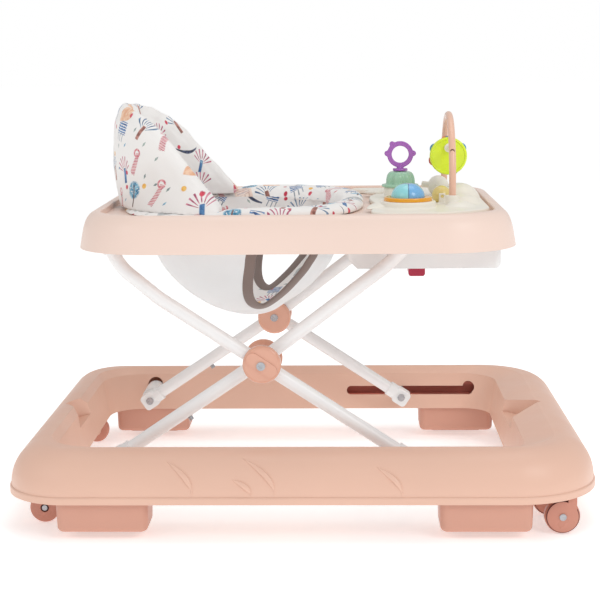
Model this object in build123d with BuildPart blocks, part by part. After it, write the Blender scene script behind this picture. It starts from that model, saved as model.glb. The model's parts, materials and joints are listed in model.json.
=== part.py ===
"""Baby walker: a moulded ring base on wheels, a folding scissor frame, and a tray with a seat and toys.

Millimetres. +X is the front (toy tray), +Y the left side, +Z up. The wheels stand on z = 0.
"""
from build123d import *
from math import cos, radians, sin
import os

os.makedirs("parts", exist_ok=True)

# ---------------------------------------------------------------- driving dimensions
SIDES = {"left": 1, "right": -1}

# base ring: outline at the lip, crest of the rail and foot of the inner wall
BASE_HALF_LENGTH = 380
BASE_HALF_WIDTH = 295
BASE_BOTTOM = 49
LIP_HEIGHT = 9.5
CREST_Z = 111
CREASE_Z = 101
CREST_INSET = 45
FRONT_CORNER = 112
REAR_CORNER = 84
OPENING_REAR = -310
OPENING_FRONT = 279
OPENING_HALF_WIDTH = 215
SHELL = 3
GRIP_FLOOR = 84

# folding frame: two equal lower arms and two equal upper arms on each side
FOLD_PIVOT_X = -246
SLIDER_X = 142
LOW_PIVOT_Z = 76
CROSS_X = -52
CROSS_Z = 207
TOP_PIVOT_X = -252
TOP_BAR_X = 148
TOP_PIVOT_Z = 370
TUBE_A_Y = 184
TUBE_B_Y = 165
TUBE_RADIUS = 9
TUBE_WALL = 1.2
PIN_RADIUS = 4
RUNNING = 0.05

# tray
TRAY_REAR = -292
TRAY_FRONT = 279
TRAY_HALF_WIDTH = 235
TRAY_CORNER = 100
TRAY_BOTTOM = 355
TRAY_TOP = 402
TRAY_PLATE_TOP = 394
TRAY_PLATE_BOTTOM = 391
TRAY_FLARE = 22
SEAT_HOLE_REAR = -222
SEAT_HOLE_FRONT = 52
SEAT_HOLE_HALF_WIDTH = 150
SEAT_HOLE_CORNER = 110

# height housing under the tray
HOUSING_REAR = 58
HOUSING_FRONT = 261
HOUSING_HALF_WIDTH = 135
HOUSING_BOTTOM = 322
HOUSING_TOP = 360
LEVER_X = 151

# wheels
CASTORS = {"outer": (341, 251), "inner": (335, 176)}
CASTOR_TRAIL = 12
CASTOR_WHEEL_RADIUS = 22.5
REAR_WHEEL_RADIUS = 19.5
REAR_WHEEL_X = -338
REAR_WHEEL_Y = 204

# stopper blocks: middle of each block
STOPPER_X = {"front": 231, "rear": -251}
STOPPER_Y = 256
STOPPER_LENGTH = 118
STOPPER_WIDTH = 64
STOPPER_BOTTOM = 10
STOPPER_TOP = 60

# toys, on the panel
PANEL_BOTTOM = 394.3
PANEL_TOP = 401
ARCH_X = 200
ARCH_FOOT_Y = 85
ARCH_TOP_Z = 517.5
ARCH_RADIUS = 4.7
SPINDLE_Z = 472
KNOB_X, KNOB_Y = 134, 20
BUTTON_X, BUTTON_Y = 140, -100
PEDESTAL_HEIGHT = 7.5
CLOUD_HUMPS = ((216, 2, 30, 25), (218, -52, 26, 14), (218, 58, 26, 18), (209, -104, 24, 10), (209, 106, 24, 11))
ROCKER = (190, 60, 414)
ROCKER_RADIUS = 15
BALL = (188, -42, 410)
BALL_RADIUS = 13
TOY_PIN_RADIUS = 2


def keep(builder, name):
    """Label a finished piece and write it to its own file."""
    builder.part.label = name
    export_step(builder.part, f"parts/{name}.step")


def outline(z, x_rear, x_front, half_width, rear_radius, front_radius):
    """One level of a ring or tray: a rectangle with its own corner radius at each end."""
    with BuildSketch(Plane.XY.offset(z)) as level:
        with Locations(((x_rear + x_front) / 2, 0)):
            Rectangle(x_front - x_rear, 2 * half_width)
        fillet(level.vertices().group_by(Axis.X)[0], rear_radius)
        fillet(level.vertices().group_by(Axis.X)[-1], front_radius)
    return level.sketch


def cross_plane(y):
    """A vertical plane along the walker, with its sketch axes on +X and +Z."""
    return Plane(origin=(0, y, 0), x_dir=(1, 0, 0), z_dir=(0, -1, 0))


def bar_along_y(x, z, y_low, y_high, radius, mode=Mode.ADD):
    """A round bar across the walker, added to the open part or cut from it."""
    with BuildSketch(cross_plane(y_high)) as section:
        with Locations((x, z)):
            Circle(radius)
    extrude(section.sketch, amount=y_high - y_low, mode=mode)


def bore_along_y(x, z, y_low, y_high, radius):
    """A round hole across the walker, cut from the open part."""
    bar_along_y(x, z, y_low, y_high, radius, mode=Mode.SUBTRACT)


def span(side, y_near, y_far):
    """The low and high y of a stretch that lies y_near to y_far out from the middle plane."""
    return sorted((side * y_near, side * y_far))


# ---------------------------------------------------------------- base ring
RAIL_ANGLES = (0, 22, 42, 60, 76, 90)


def base_outline(z, inset):
    """The ring's outline, moved in all round."""
    x = BASE_HALF_LENGTH - inset
    return outline(z, -x, x, BASE_HALF_WIDTH - inset, REAR_CORNER - inset, FRONT_CORNER - inset)


def rail_outside(skin):
    """The ring's outer form as a full block: a quarter ellipse from the lip up to the crest."""
    levels = []
    for angle in RAIL_ANGLES:
        inset = 2 + (CREST_INSET - 2) * (1 - cos(radians(angle))) + skin
        z = BASE_BOTTOM + LIP_HEIGHT + (CREST_Z - BASE_BOTTOM - LIP_HEIGHT - skin) * sin(radians(angle))
        levels.append(base_outline(z, inset))
    loft(levels)


def rail_opening(skin, mode):
    """The ring's opening: a leaning wall up to the crease, then a shallow slope up to the crest."""
    rear = OPENING_REAR - skin
    front = OPENING_FRONT + skin
    wall = OPENING_HALF_WIDTH + skin
    foot = outline(BASE_BOTTOM - 3, rear, front, wall, 46 + skin, 40 + skin)
    crease = outline(CREASE_Z, rear - 12, front + 9, wall + 21, 60 + skin, 52 + skin)
    crest = outline(CREST_Z + 1, 49 - BASE_HALF_LENGTH, BASE_HALF_LENGTH - 49, wall + 33, 66, 74)
    loft([foot, crease], ruled=True, mode=mode)
    loft([crease, crest], ruled=True, mode=mode)


def grip_block(end, grow, floor):
    """Cut a hand grip: a triangle in plan that opens on the inner wall and points outwards."""
    tip = {"rear": -347, "front": 334}[end]
    mouth = {"rear": -300, "front": 270}[end]
    outward = -1 if end == "rear" else 1
    with BuildSketch(Plane.XY.offset(floor)) as plan:
        Polygon((mouth, -72 - grow), (mouth, 72 + grow), (tip + outward * grow, 0), align=None)
    extrude(plan.sketch, amount=CREST_Z + 6 - floor, mode=Mode.SUBTRACT)


with BuildPart() as rail_hollow:
    extrude(base_outline(BASE_BOTTOM - 1, SHELL), amount=LIP_HEIGHT + 1.2)
    rail_outside(SHELL)
    rail_opening(SHELL, Mode.SUBTRACT)
    for end in ("rear", "front"):
        grip_block(end, 2 * SHELL, GRIP_FLOOR - SHELL)
    # castor, stopper and rear bracket bosses stay solid up to the skin
    for stem_x, stem_y in CASTORS.values():
        with BuildSketch(Plane.XY.offset(BASE_BOTTOM + 1.2)):
            with Locations((stem_x, stem_y), (stem_x, -stem_y)):
                Circle(9)
        extrude(amount=CREST_Z, mode=Mode.SUBTRACT)
    for x in STOPPER_X.values():
        with BuildSketch(Plane.XY.offset(STOPPER_TOP)):
            with Locations((x - 30, STOPPER_Y), (x + 30, STOPPER_Y), (x - 30, -STOPPER_Y), (x + 30, -STOPPER_Y)):
                Circle(6)
        extrude(amount=CREST_Z, mode=Mode.SUBTRACT)
    with BuildSketch(Plane.XY.offset(BASE_BOTTOM + 4)):
        with Locations((REAR_WHEEL_X, REAR_WHEEL_Y), (REAR_WHEEL_X, -REAR_WHEEL_Y)):
            Circle(7)
    extrude(amount=CREST_Z, mode=Mode.SUBTRACT)

with BuildPart() as base_shell:
    extrude(base_outline(BASE_BOTTOM, 0), amount=LIP_HEIGHT)
    fillet(base_shell.faces().sort_by(Axis.Z)[-1].edges(), 2.5)
    rail_outside(0)
    rail_opening(0, Mode.SUBTRACT)
    add(rail_hollow.part, mode=Mode.SUBTRACT)
    for end in ("rear", "front"):
        grip_block(end, 0, GRIP_FLOOR)
    # stem bores, and the pilot holes of the stopper screws
    for stem_x, stem_y in CASTORS.values():
        with BuildSketch(Plane.XY.offset(BASE_BOTTOM)):
            with Locations((stem_x, stem_y), (stem_x, -stem_y)):
                Circle(PIN_RADIUS + RUNNING)
        extrude(amount=28, mode=Mode.SUBTRACT)
    for x in STOPPER_X.values():
        with BuildSketch(Plane.XY.offset(STOPPER_TOP - 1)):
            with Locations((x - 30, STOPPER_Y), (x + 30, STOPPER_Y), (x - 30, -STOPPER_Y), (x + 30, -STOPPER_Y)):
                Circle(2.05)
        extrude(amount=18, mode=Mode.SUBTRACT)
    # slot with a keyhole for the sliders, and a stepped hole for the rear pivot, in both inner walls
    for side in SIDES.values():
        y_low, y_high = span(side, OPENING_HALF_WIDTH - 10, OPENING_HALF_WIDTH + 24)
        with BuildSketch(cross_plane(y_high)):
            with Locations((157, LOW_PIVOT_Z)):
                SlotOverall(198, 13)
            with Locations((250, LOW_PIVOT_Z + 5)):
                Circle(9)
            with Locations((FOLD_PIVOT_X, LOW_PIVOT_Z)):
                Circle(15.3)
            with Locations((FOLD_PIVOT_X, LOW_PIVOT_Z + 9)):
                Circle(12)
        extrude(amount=y_high - y_low, mode=Mode.SUBTRACT)
keep(base_shell, "base_shell")

# ---------------------------------------------------------------- stopper blocks
SCREW_STEP = 30


def stopper_pair(x):
    """A hollow block on each side, with a rounded floor and two screw posts, open at the top."""
    middles = [(x, STOPPER_Y), (x, -STOPPER_Y)]
    posts = [(x + step, y) for step in (-SCREW_STEP, SCREW_STEP) for y in (STOPPER_Y, -STOPPER_Y)]
    with BuildPart() as blocks:
        with BuildSketch(Plane.XY.offset(STOPPER_TOP)):
            with Locations(middles):
                RectangleRounded(STOPPER_LENGTH, STOPPER_WIDTH, 11)
        extrude(amount=STOPPER_BOTTOM - STOPPER_TOP, taper=2)
        fillet(blocks.faces().filter_by(Axis.Z).group_by(Axis.Z)[0].edges(), 7)
        with BuildSketch(Plane.XY.offset(STOPPER_BOTTOM + SHELL)):
            with Locations(middles):
                RectangleRounded(STOPPER_LENGTH - 12, STOPPER_WIDTH - 12, 8)
            with Locations(posts):
                Circle(7.5, mode=Mode.SUBTRACT)
        extrude(amount=STOPPER_TOP, mode=Mode.SUBTRACT)
        with BuildSketch(Plane.XY.offset(STOPPER_BOTTOM)):
            with Locations(posts):
                Circle(4.6)
        extrude(amount=30, mode=Mode.SUBTRACT)
        with BuildSketch(Plane.XY.offset(STOPPER_BOTTOM + 29)):
            with Locations(posts):
                Circle(2.05)
        extrude(amount=30, mode=Mode.SUBTRACT)
    return blocks


for end, x in STOPPER_X.items():
    keep(stopper_pair(x), f"{end}_stoppers")

with BuildPart() as stopper_grip_pads:
    with BuildSketch(Plane.XY.offset(STOPPER_BOTTOM - 2.5)):
        for x in STOPPER_X.values():
            with Locations((x, STOPPER_Y), (x, -STOPPER_Y)):
                RectangleRounded(84, 34, 10)
    extrude(amount=2.5)
keep(stopper_grip_pads, "stopper_grip_pads")

with BuildPart() as stopper_screws:
    for x in STOPPER_X.values():
        for y in (STOPPER_Y, -STOPPER_Y):
            with Locations((x - SCREW_STEP, y, STOPPER_BOTTOM + 27), (x + SCREW_STEP, y, STOPPER_BOTTOM + 27)):
                Cylinder(4.4, 3, align=(Align.CENTER, Align.CENTER, Align.MIN))
                Cylinder(2, 37, align=(Align.CENTER, Align.CENTER, Align.MIN))
keep(stopper_screws, "stopper_screws")

# ---------------------------------------------------------------- slide tracks and rear pivots, in the base
with BuildPart() as slide_tracks:
    for side in SIDES.values():
        y_low, y_high = span(side, 237, 249)
        with BuildSketch(cross_plane(y_high)):
            with Locations((158, LOW_PIVOT_Z)):
                RectangleRounded(214, 24, 4)
        extrude(amount=y_high - y_low)
        y_low, y_high = span(side, 236, 247)
        with BuildSketch(cross_plane(y_high)):
            with Locations((158, LOW_PIVOT_Z)):
                RectangleRounded(208, 14, 3)
        extrude(amount=y_high - y_low, mode=Mode.SUBTRACT)
keep(slide_tracks, "slide_tracks")

BOSS_INNER_Y = 177.5
with BuildPart() as rear_pivot_bosses:
    for side in SIDES.values():
        bar_along_y(FOLD_PIVOT_X, LOW_PIVOT_Z, *span(side, BOSS_INNER_Y + 4, 236), 15)
        bar_along_y(FOLD_PIVOT_X, LOW_PIVOT_Z, *span(side, BOSS_INNER_Y, BOSS_INNER_Y + 4), 11)
        bore_along_y(FOLD_PIVOT_X, LOW_PIVOT_Z, *span(side, BOSS_INNER_Y - 1, 237), PIN_RADIUS)
keep(rear_pivot_bosses, "rear_pivot_bosses")

EYE_HALF_WIDTH = 9.6
EYE_INNER_Y = TUBE_B_Y - EYE_HALF_WIDTH
with BuildPart() as rear_pivot_pins:
    for side in SIDES.values():
        bar_along_y(FOLD_PIVOT_X, LOW_PIVOT_Z, *span(side, EYE_INNER_Y, 242), PIN_RADIUS)
        bar_along_y(FOLD_PIVOT_X, LOW_PIVOT_Z, *span(side, EYE_INNER_Y - 2, EYE_INNER_Y), 5.5)
        bar_along_y(FOLD_PIVOT_X, LOW_PIVOT_Z, *span(side, 236, 242), 8)
keep(rear_pivot_pins, "rear_pivot_pins")

# ---------------------------------------------------------------- front castors
FORK_GAP = 6.6
FORK_PLATE = 2.6
AXLE_RADIUS = 2.5


def castor_fork(stem_x, stem_y):
    """Two round hood plates beside the wheel, joined to a stem that turns in the base."""
    wheel_x = stem_x - CASTOR_TRAIL
    with BuildPart() as fork:
        for inner, outer in ((FORK_GAP, FORK_GAP + FORK_PLATE), (-FORK_GAP - FORK_PLATE, -FORK_GAP)):
            with BuildSketch(cross_plane(stem_y + outer)) as plate:
                with Locations((wheel_x, CASTOR_WHEEL_RADIUS)):
                    Circle(19.8)
                with Locations((stem_x, 36)):
                    Rectangle(11, 22)
            extrude(amount=outer - inner)
        with Locations((stem_x, stem_y, 46.6)):
            Box(11, 2 * (FORK_GAP + FORK_PLATE), 1.8)
        with Locations((stem_x, stem_y, 46)):
            Cylinder(PIN_RADIUS, 30, align=(Align.CENTER, Align.CENTER, Align.MIN))
        bore_along_y(wheel_x, CASTOR_WHEEL_RADIUS, stem_y - 12, stem_y + 12, AXLE_RADIUS)
    return fork


def castor_wheel(stem_x, stem_y):
    """A solid wheel with a rounded tread and a bore for the axle."""
    with BuildPart() as wheel:
        bar_along_y(stem_x - CASTOR_TRAIL, CASTOR_WHEEL_RADIUS, stem_y - 6, stem_y + 6, CASTOR_WHEEL_RADIUS)
        fillet(wheel.edges().filter_by(GeomType.CIRCLE), 2.5)
        bore_along_y(
            stem_x - CASTOR_TRAIL, CASTOR_WHEEL_RADIUS, stem_y - 7, stem_y + 7, AXLE_RADIUS + RUNNING
        )
    return wheel


def castor_axle(stem_x, stem_y):
    """A pin through both hood plates with a domed screw head on each side."""
    wheel_x = stem_x - CASTOR_TRAIL
    reach = FORK_GAP + FORK_PLATE
    with BuildPart() as axle:
        bar_along_y(wheel_x, CASTOR_WHEEL_RADIUS, stem_y - reach, stem_y + reach, AXLE_RADIUS)
        bar_along_y(wheel_x, CASTOR_WHEEL_RADIUS, stem_y + reach, stem_y + reach + 1.6, 4.4)
        bar_along_y(wheel_x, CASTOR_WHEEL_RADIUS, stem_y - reach - 1.6, stem_y - reach, 4.4)
    return axle


for row, (stem_x, stem_offset) in CASTORS.items():
    for side_name, side in SIDES.items():
        stem_y = side * stem_offset
        keep(castor_fork(stem_x, stem_y), f"castor_fork_{row}_{side_name}")
        keep(castor_wheel(stem_x, stem_y), f"castor_wheel_{row}_{side_name}")
        keep(castor_axle(stem_x, stem_y), f"castor_axle_{row}_{side_name}")

with BuildPart() as castor_washers:
    for stem_x, stem_offset in CASTORS.values():
        for side in SIDES.values():
            with Locations((stem_x, side * stem_offset, 47.9)):
                Cylinder(7, 1.1, align=(Align.CENTER, Align.CENTER, Align.MIN))
                Cylinder(
                    PIN_RADIUS + 0.1, 1.1, align=(Align.CENTER, Align.CENTER, Align.MIN), mode=Mode.SUBTRACT
                )
keep(castor_washers, "castor_washers")

# ---------------------------------------------------------------- rear wheels
BRACKET_EAR_Y = 191
WHEEL_INNER_Y = 197
WHEEL_OUTER_Y = 211

with BuildPart() as rear_wheel_brackets:
    for side in SIDES.values():
        y_low, y_high = span(side, BRACKET_EAR_Y, BRACKET_EAR_Y + 4)
        with BuildSketch(cross_plane(y_high)):
            with Locations((REAR_WHEEL_X, REAR_WHEEL_RADIUS)):
                Circle(8)
            with Locations((REAR_WHEEL_X, 35)):
                Rectangle(16, 31)
        extrude(amount=y_high - y_low)
        y_low, y_high = span(side, 188, 220)
        with Locations((REAR_WHEEL_X, (y_low + y_high) / 2, BASE_BOTTOM + 2.5)):
            Box(44, y_high - y_low, 3)
        bore_along_y(REAR_WHEEL_X, REAR_WHEEL_RADIUS, *span(side, 185, 196), AXLE_RADIUS)
keep(rear_wheel_brackets, "rear_wheel_brackets")

with BuildPart() as rear_axles:
    for side in SIDES.values():
        bar_along_y(REAR_WHEEL_X, REAR_WHEEL_RADIUS, *span(side, 189, WHEEL_OUTER_Y), AXLE_RADIUS)
        bar_along_y(REAR_WHEEL_X, REAR_WHEEL_RADIUS, *span(side, WHEEL_OUTER_Y - 2.4, WHEEL_OUTER_Y), 3.6)
keep(rear_axles, "rear_axles")

for side_name, side in SIDES.items():
    with BuildPart() as rear_wheel:
        y_low, y_high = span(side, WHEEL_INNER_Y, WHEEL_OUTER_Y)
        bar_along_y(REAR_WHEEL_X, REAR_WHEEL_RADIUS, y_low, y_high, REAR_WHEEL_RADIUS)
        fillet(rear_wheel.edges().filter_by(GeomType.CIRCLE), 3)
        bore_along_y(REAR_WHEEL_X, REAR_WHEEL_RADIUS, *span(side, WHEEL_OUTER_Y - 3, WHEEL_OUTER_Y + 1), 5.6)
        bore_along_y(REAR_WHEEL_X, REAR_WHEEL_RADIUS, y_low - 1, y_high + 1, AXLE_RADIUS + RUNNING)
    keep(rear_wheel, f"rear_wheel_{side_name}")

# ---------------------------------------------------------------- scissor tubes
# each tube leaves its lower fitting, passes the crossing and bends up into its upper fitting
TUBE_A_ROUTE = [(127, 87), (-184, 292), (-231, 331), (-247, 358)]
TUBE_A_BENDS = [80, 60]
TUBE_B_ROUTE = [(-233, 85.5), (-60, 202), (110, 331), (139, 361)]
TUBE_B_BENDS = [300, 120]


def tube(route, bends, y):
    """A bent round tube in one vertical plane, bored at the crossing."""
    with BuildPart() as strut:
        with BuildLine(cross_plane(y)) as path:
            FilletPolyline(*route, radius=bends)
        with BuildSketch(path.line ^ 0):
            Circle(TUBE_RADIUS)
            Circle(TUBE_RADIUS - TUBE_WALL, mode=Mode.SUBTRACT)
        sweep(path=path.line)
        bore_along_y(CROSS_X, CROSS_Z, y - 12, y + 12, PIN_RADIUS + RUNNING)
    return strut


def socket(x, z, route_point, next_point, y, bore, eye_size):
    """A plastic end fitting: a bored block across the walker and a sleeve that the tube plugs into."""
    mouth = Vector(route_point[0], y, route_point[1])
    along = (Vector(next_point[0], y, next_point[1]) - mouth).normalized()
    with BuildPart() as fitting:
        eye_plane = Plane(origin=(x, y + EYE_HALF_WIDTH, z), x_dir=along, z_dir=(0, -1, 0))
        with BuildSketch(eye_plane):
            RectangleRounded(eye_size, eye_size, 5.5)
        extrude(amount=2 * EYE_HALF_WIDTH)
        with BuildSketch(Plane(origin=mouth - along * 9, z_dir=along)):
            Circle(11.2)
        extrude(amount=14)
        with BuildSketch(Plane(origin=mouth, z_dir=along)):
            Circle(TUBE_RADIUS)
        extrude(amount=40, mode=Mode.SUBTRACT)
        bore_along_y(x, z, y - 12, y + 12, bore)
    return fitting


for side_name, side in SIDES.items():
    keep(tube(TUBE_A_ROUTE, TUBE_A_BENDS, side * TUBE_A_Y), f"tube_a_{side_name}")
    keep(tube(TUBE_B_ROUTE, TUBE_B_BENDS, side * TUBE_B_Y), f"tube_b_{side_name}")


def fitting_pair(name, x, z, route, y, bore, eye_size=24):
    """The same fitting on both sides, bored for its pin."""
    sockets = [socket(x, z, route[0], route[1], side * y, bore, eye_size).part for side in SIDES.values()]
    with BuildPart() as pair:
        add(sockets)
    keep(pair, name)


fitting_pair("tube_a_lower_fittings", SLIDER_X, LOW_PIVOT_Z, TUBE_A_ROUTE, TUBE_A_Y, PIN_RADIUS)
fitting_pair("tube_b_lower_fittings", FOLD_PIVOT_X, LOW_PIVOT_Z, TUBE_B_ROUTE, TUBE_B_Y, PIN_RADIUS + RUNNING)
fitting_pair(
    "tube_a_upper_fittings", TOP_PIVOT_X, TOP_PIVOT_Z, TUBE_A_ROUTE[::-1], TUBE_A_Y, PIN_RADIUS + RUNNING, 20
)
fitting_pair("tube_b_upper_fittings", TOP_BAR_X, TOP_PIVOT_Z, TUBE_B_ROUTE[::-1], TUBE_B_Y, 6)

with BuildPart() as top_cross_bar:
    bar_along_y(TOP_BAR_X, TOP_PIVOT_Z, -TUBE_B_Y - EYE_HALF_WIDTH, TUBE_B_Y + EYE_HALF_WIDTH, 6)
keep(top_cross_bar, "top_cross_bar")

with BuildPart() as slider_rollers:
    for side in SIDES.values():
        inner_y = TUBE_A_Y - EYE_HALF_WIDTH
        bar_along_y(SLIDER_X, LOW_PIVOT_Z, *span(side, inner_y, 246), PIN_RADIUS)
        bar_along_y(SLIDER_X, LOW_PIVOT_Z, *span(side, inner_y - 2, inner_y), 5.5)
        bar_along_y(SLIDER_X, LOW_PIVOT_Z, *span(side, 198, 246), 6)
keep(slider_rollers, "slider_rollers")

# ---------------------------------------------------------------- crossing: bolt, covers and screws
COVER_RADIUS = 25
OUTER_COVER_Y = 193.4
INNER_COVER_Y = 155.9

with BuildPart() as cross_bolts:
    for side in SIDES.values():
        bar_along_y(CROSS_X, CROSS_Z, *span(side, INNER_COVER_Y - 8, OUTER_COVER_Y - 0.3), PIN_RADIUS)
        bar_along_y(CROSS_X, CROSS_Z, *span(side, INNER_COVER_Y - 9.6, INNER_COVER_Y - 8), 5.6)
        bore_along_y(CROSS_X, CROSS_Z, *span(side, INNER_COVER_Y - 11, INNER_COVER_Y - 9), 2.4)
keep(cross_bolts, "cross_bolts")

with BuildPart() as outer_pivot_covers:
    for side in SIDES.values():
        y_low, y_high = span(side, OUTER_COVER_Y, OUTER_COVER_Y + 9)
        bar_along_y(CROSS_X, CROSS_Z, y_low, y_high, COVER_RADIUS)
        outer_face = outer_pivot_covers.faces().sort_by(Axis.Y)[-1 if side > 0 else 0]
        fillet(outer_face.edges(), 5)
        # a raised band across the cover, in line with tube A
        band_y = side * (OUTER_COVER_Y + 9)
        with BuildSketch(Plane(origin=(CROSS_X, band_y, CROSS_Z), x_dir=(-0.83, 0, 0.56), z_dir=(0, side, 0))):
            SlotOverall(44, 17)
        extrude(amount=1.6)
keep(outer_pivot_covers, "outer_pivot_covers")

with BuildPart() as inner_pivot_covers:
    for side in SIDES.values():
        y_low, y_high = span(side, INNER_COVER_Y - 8, INNER_COVER_Y)
        bar_along_y(CROSS_X, CROSS_Z, y_low, y_high, COVER_RADIUS)
        inner_face = inner_pivot_covers.faces().filter_by(Axis.Y).sort_by(lambda f: abs(f.center().Y))[0]
        fillet(inner_face.edges(), 5)
        bore_along_y(CROSS_X, CROSS_Z, *span(side, INNER_COVER_Y - 9, INNER_COVER_Y + 1), PIN_RADIUS)
keep(inner_pivot_covers, "inner_pivot_covers")

with BuildPart() as outer_cover_screws:
    for side in SIDES.values():
        bar_along_y(CROSS_X - 1, CROSS_Z - 1, *span(side, OUTER_COVER_Y + 10.6, OUTER_COVER_Y + 12.2), 5.6)
        bore_along_y(CROSS_X - 1, CROSS_Z - 1, *span(side, OUTER_COVER_Y + 11.2, OUTER_COVER_Y + 13), 2.4)
keep(outer_cover_screws, "outer_cover_screws")

with BuildPart() as fold_stop_buttons:
    for side in SIDES.values():
        with BuildSketch(Plane(origin=(-150, side * TUBE_B_Y, 130.5), z_dir=(0.56, 0, -0.83))):
            Circle(3.2)
        extrude(amount=5)
keep(fold_stop_buttons, "fold_stop_buttons")

# ---------------------------------------------------------------- tray


def tray_outline(z, inset):
    """The tray's outline, moved in all round."""
    corner = TRAY_CORNER - inset
    return outline(z, TRAY_REAR + inset, TRAY_FRONT - inset, TRAY_HALF_WIDTH - inset, corner, corner)


def seat_hole(z, grow):
    """The outline of the seat opening, moved out all round."""
    corner = SEAT_HOLE_CORNER + grow
    return outline(z, SEAT_HOLE_REAR - grow, SEAT_HOLE_FRONT + grow, SEAT_HOLE_HALF_WIDTH + grow, corner, corner)


SKIRT_PROFILE = ((0, 0), (0.15, 1.2), (0.4, 3.4), (0.7, 7.2), (0.9, 12.8), (1, TRAY_FLARE))


def tray_block(skin, top):
    """The tray's outer form: a bell flare at the bottom edge, a steep wall and a rounded rim."""
    levels = []
    # share of the height, and how far the wall stands in from the bottom edge
    for share, inset in SKIRT_PROFILE:
        z = TRAY_BOTTOM + (top - TRAY_BOTTOM) * share
        levels.append(tray_outline(z, inset + skin))
    loft(levels)


with BuildPart() as tray_hollow:
    tray_block(SHELL, TRAY_PLATE_BOTTOM)
    extrude(tray_outline(TRAY_BOTTOM - 1, SHELL), amount=1)
    # a collar of solid skin stays round the seat hole
    extrude(seat_hole(TRAY_PLATE_BOTTOM - 8, SHELL), amount=10, mode=Mode.SUBTRACT)

with BuildPart() as tray_body:
    tray_block(0, TRAY_TOP)
    extrude(tray_outline(TRAY_PLATE_TOP, TRAY_FLARE + 6), amount=20, mode=Mode.SUBTRACT)
    add(tray_hollow.part, mode=Mode.SUBTRACT)
    extrude(seat_hole(TRAY_BOTTOM - 2, 0), amount=60, mode=Mode.SUBTRACT)
    fillet(tray_body.faces().filter_by(Axis.Z).sort_by(Axis.Z)[-1].edges(), 2)
keep(tray_body, "tray_body")

EAR_Y = TUBE_A_Y - EYE_HALF_WIDTH - 5
with BuildPart() as tray_hinge_brackets:
    for side in SIDES.values():
        # an ear inside each fitting, leaning forward from the pin up to a foot on the plate
        y_low, y_high = span(side, EAR_Y, EAR_Y + 2.6)
        with BuildSketch(cross_plane(y_high)) as ear:
            with Locations((TOP_PIVOT_X, TOP_PIVOT_Z)):
                Circle(9)
            with BuildLine():
                Polyline(
                    (TOP_PIVOT_X - 8, TOP_PIVOT_Z + 4),
                    (TOP_PIVOT_X + 4, TRAY_PLATE_BOTTOM),
                    (TOP_PIVOT_X + 30, TRAY_PLATE_BOTTOM),
                    (TOP_PIVOT_X + 5, TOP_PIVOT_Z - 7),
                    close=True,
                )
            make_face()
        extrude(ear.sketch, amount=y_high - y_low)
        with Locations((TOP_PIVOT_X + 17, side * (EAR_Y - 5), TRAY_PLATE_BOTTOM - 1)):
            Box(26, 12, 2)
        bar_along_y(TOP_PIVOT_X, TOP_PIVOT_Z, *span(side, EAR_Y - 1, EAR_Y + 26.2), PIN_RADIUS)
        bar_along_y(TOP_PIVOT_X, TOP_PIVOT_Z, *span(side, EAR_Y + 26.2, EAR_Y + 27.8), 5.5)
keep(tray_hinge_brackets, "tray_hinge_brackets")

# ---------------------------------------------------------------- height housing and its lever
SPRING_BOTTOM = HOUSING_BOTTOM + 10
with BuildPart() as height_housing:
    with BuildSketch(cross_plane(HOUSING_HALF_WIDTH)):
        with BuildLine():
            Polyline(
                (HOUSING_REAR, HOUSING_TOP),
                (HOUSING_REAR, HOUSING_BOTTOM + 14),
                (HOUSING_REAR + 14, HOUSING_BOTTOM),
                (HOUSING_FRONT - 5, HOUSING_BOTTOM),
                (HOUSING_FRONT, HOUSING_BOTTOM + 5),
                (HOUSING_FRONT, HOUSING_TOP),
                close=True,
            )
        make_face()
    extrude(amount=2 * HOUSING_HALF_WIDTH)
    fillet(height_housing.edges().filter_by(Axis.Z), 8)
    floor_z = HOUSING_BOTTOM + SHELL
    middle_x = (HOUSING_REAR + HOUSING_FRONT) / 2
    with BuildSketch(Plane.XY.offset(floor_z)):
        with Locations((middle_x, 0)):
            RectangleRounded(HOUSING_FRONT - HOUSING_REAR - 22, 2 * HOUSING_HALF_WIDTH - 6, 6)
    extrude(amount=HOUSING_TOP, mode=Mode.SUBTRACT)
    # four hangers carry the housing from the tray's plate, clear of the cross bar's travel
    for x, top in ((HOUSING_REAR + 2, TRAY_PLATE_BOTTOM), (HOUSING_FRONT - 4, TRAY_PLATE_BOTTOM - 2)):
        with Locations((x, -110, HOUSING_TOP - 4), (x, 110, HOUSING_TOP - 4)):
            Box(4, 22, top - HOUSING_TOP + 4, align=(Align.CENTER, Align.CENTER, Align.MIN))
    # slot for the lever
    with Locations((LEVER_X, -100, HOUSING_BOTTOM)):
        Box(25, 42, 12, mode=Mode.SUBTRACT)
    # a bridge inside that the lever's spring pushes against
    with Locations((LEVER_X, -100, SPRING_BOTTOM + 19)):
        Box(20, 67, 3, align=(Align.CENTER, Align.CENTER, Align.MIN))
    with Locations((LEVER_X, -68.3, HOUSING_BOTTOM + 1)):
        Box(20, 3.6, SPRING_BOTTOM + 21 - HOUSING_BOTTOM - 1, align=(Align.CENTER, Align.CENTER, Align.MIN))
keep(height_housing, "height_housing")

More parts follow.
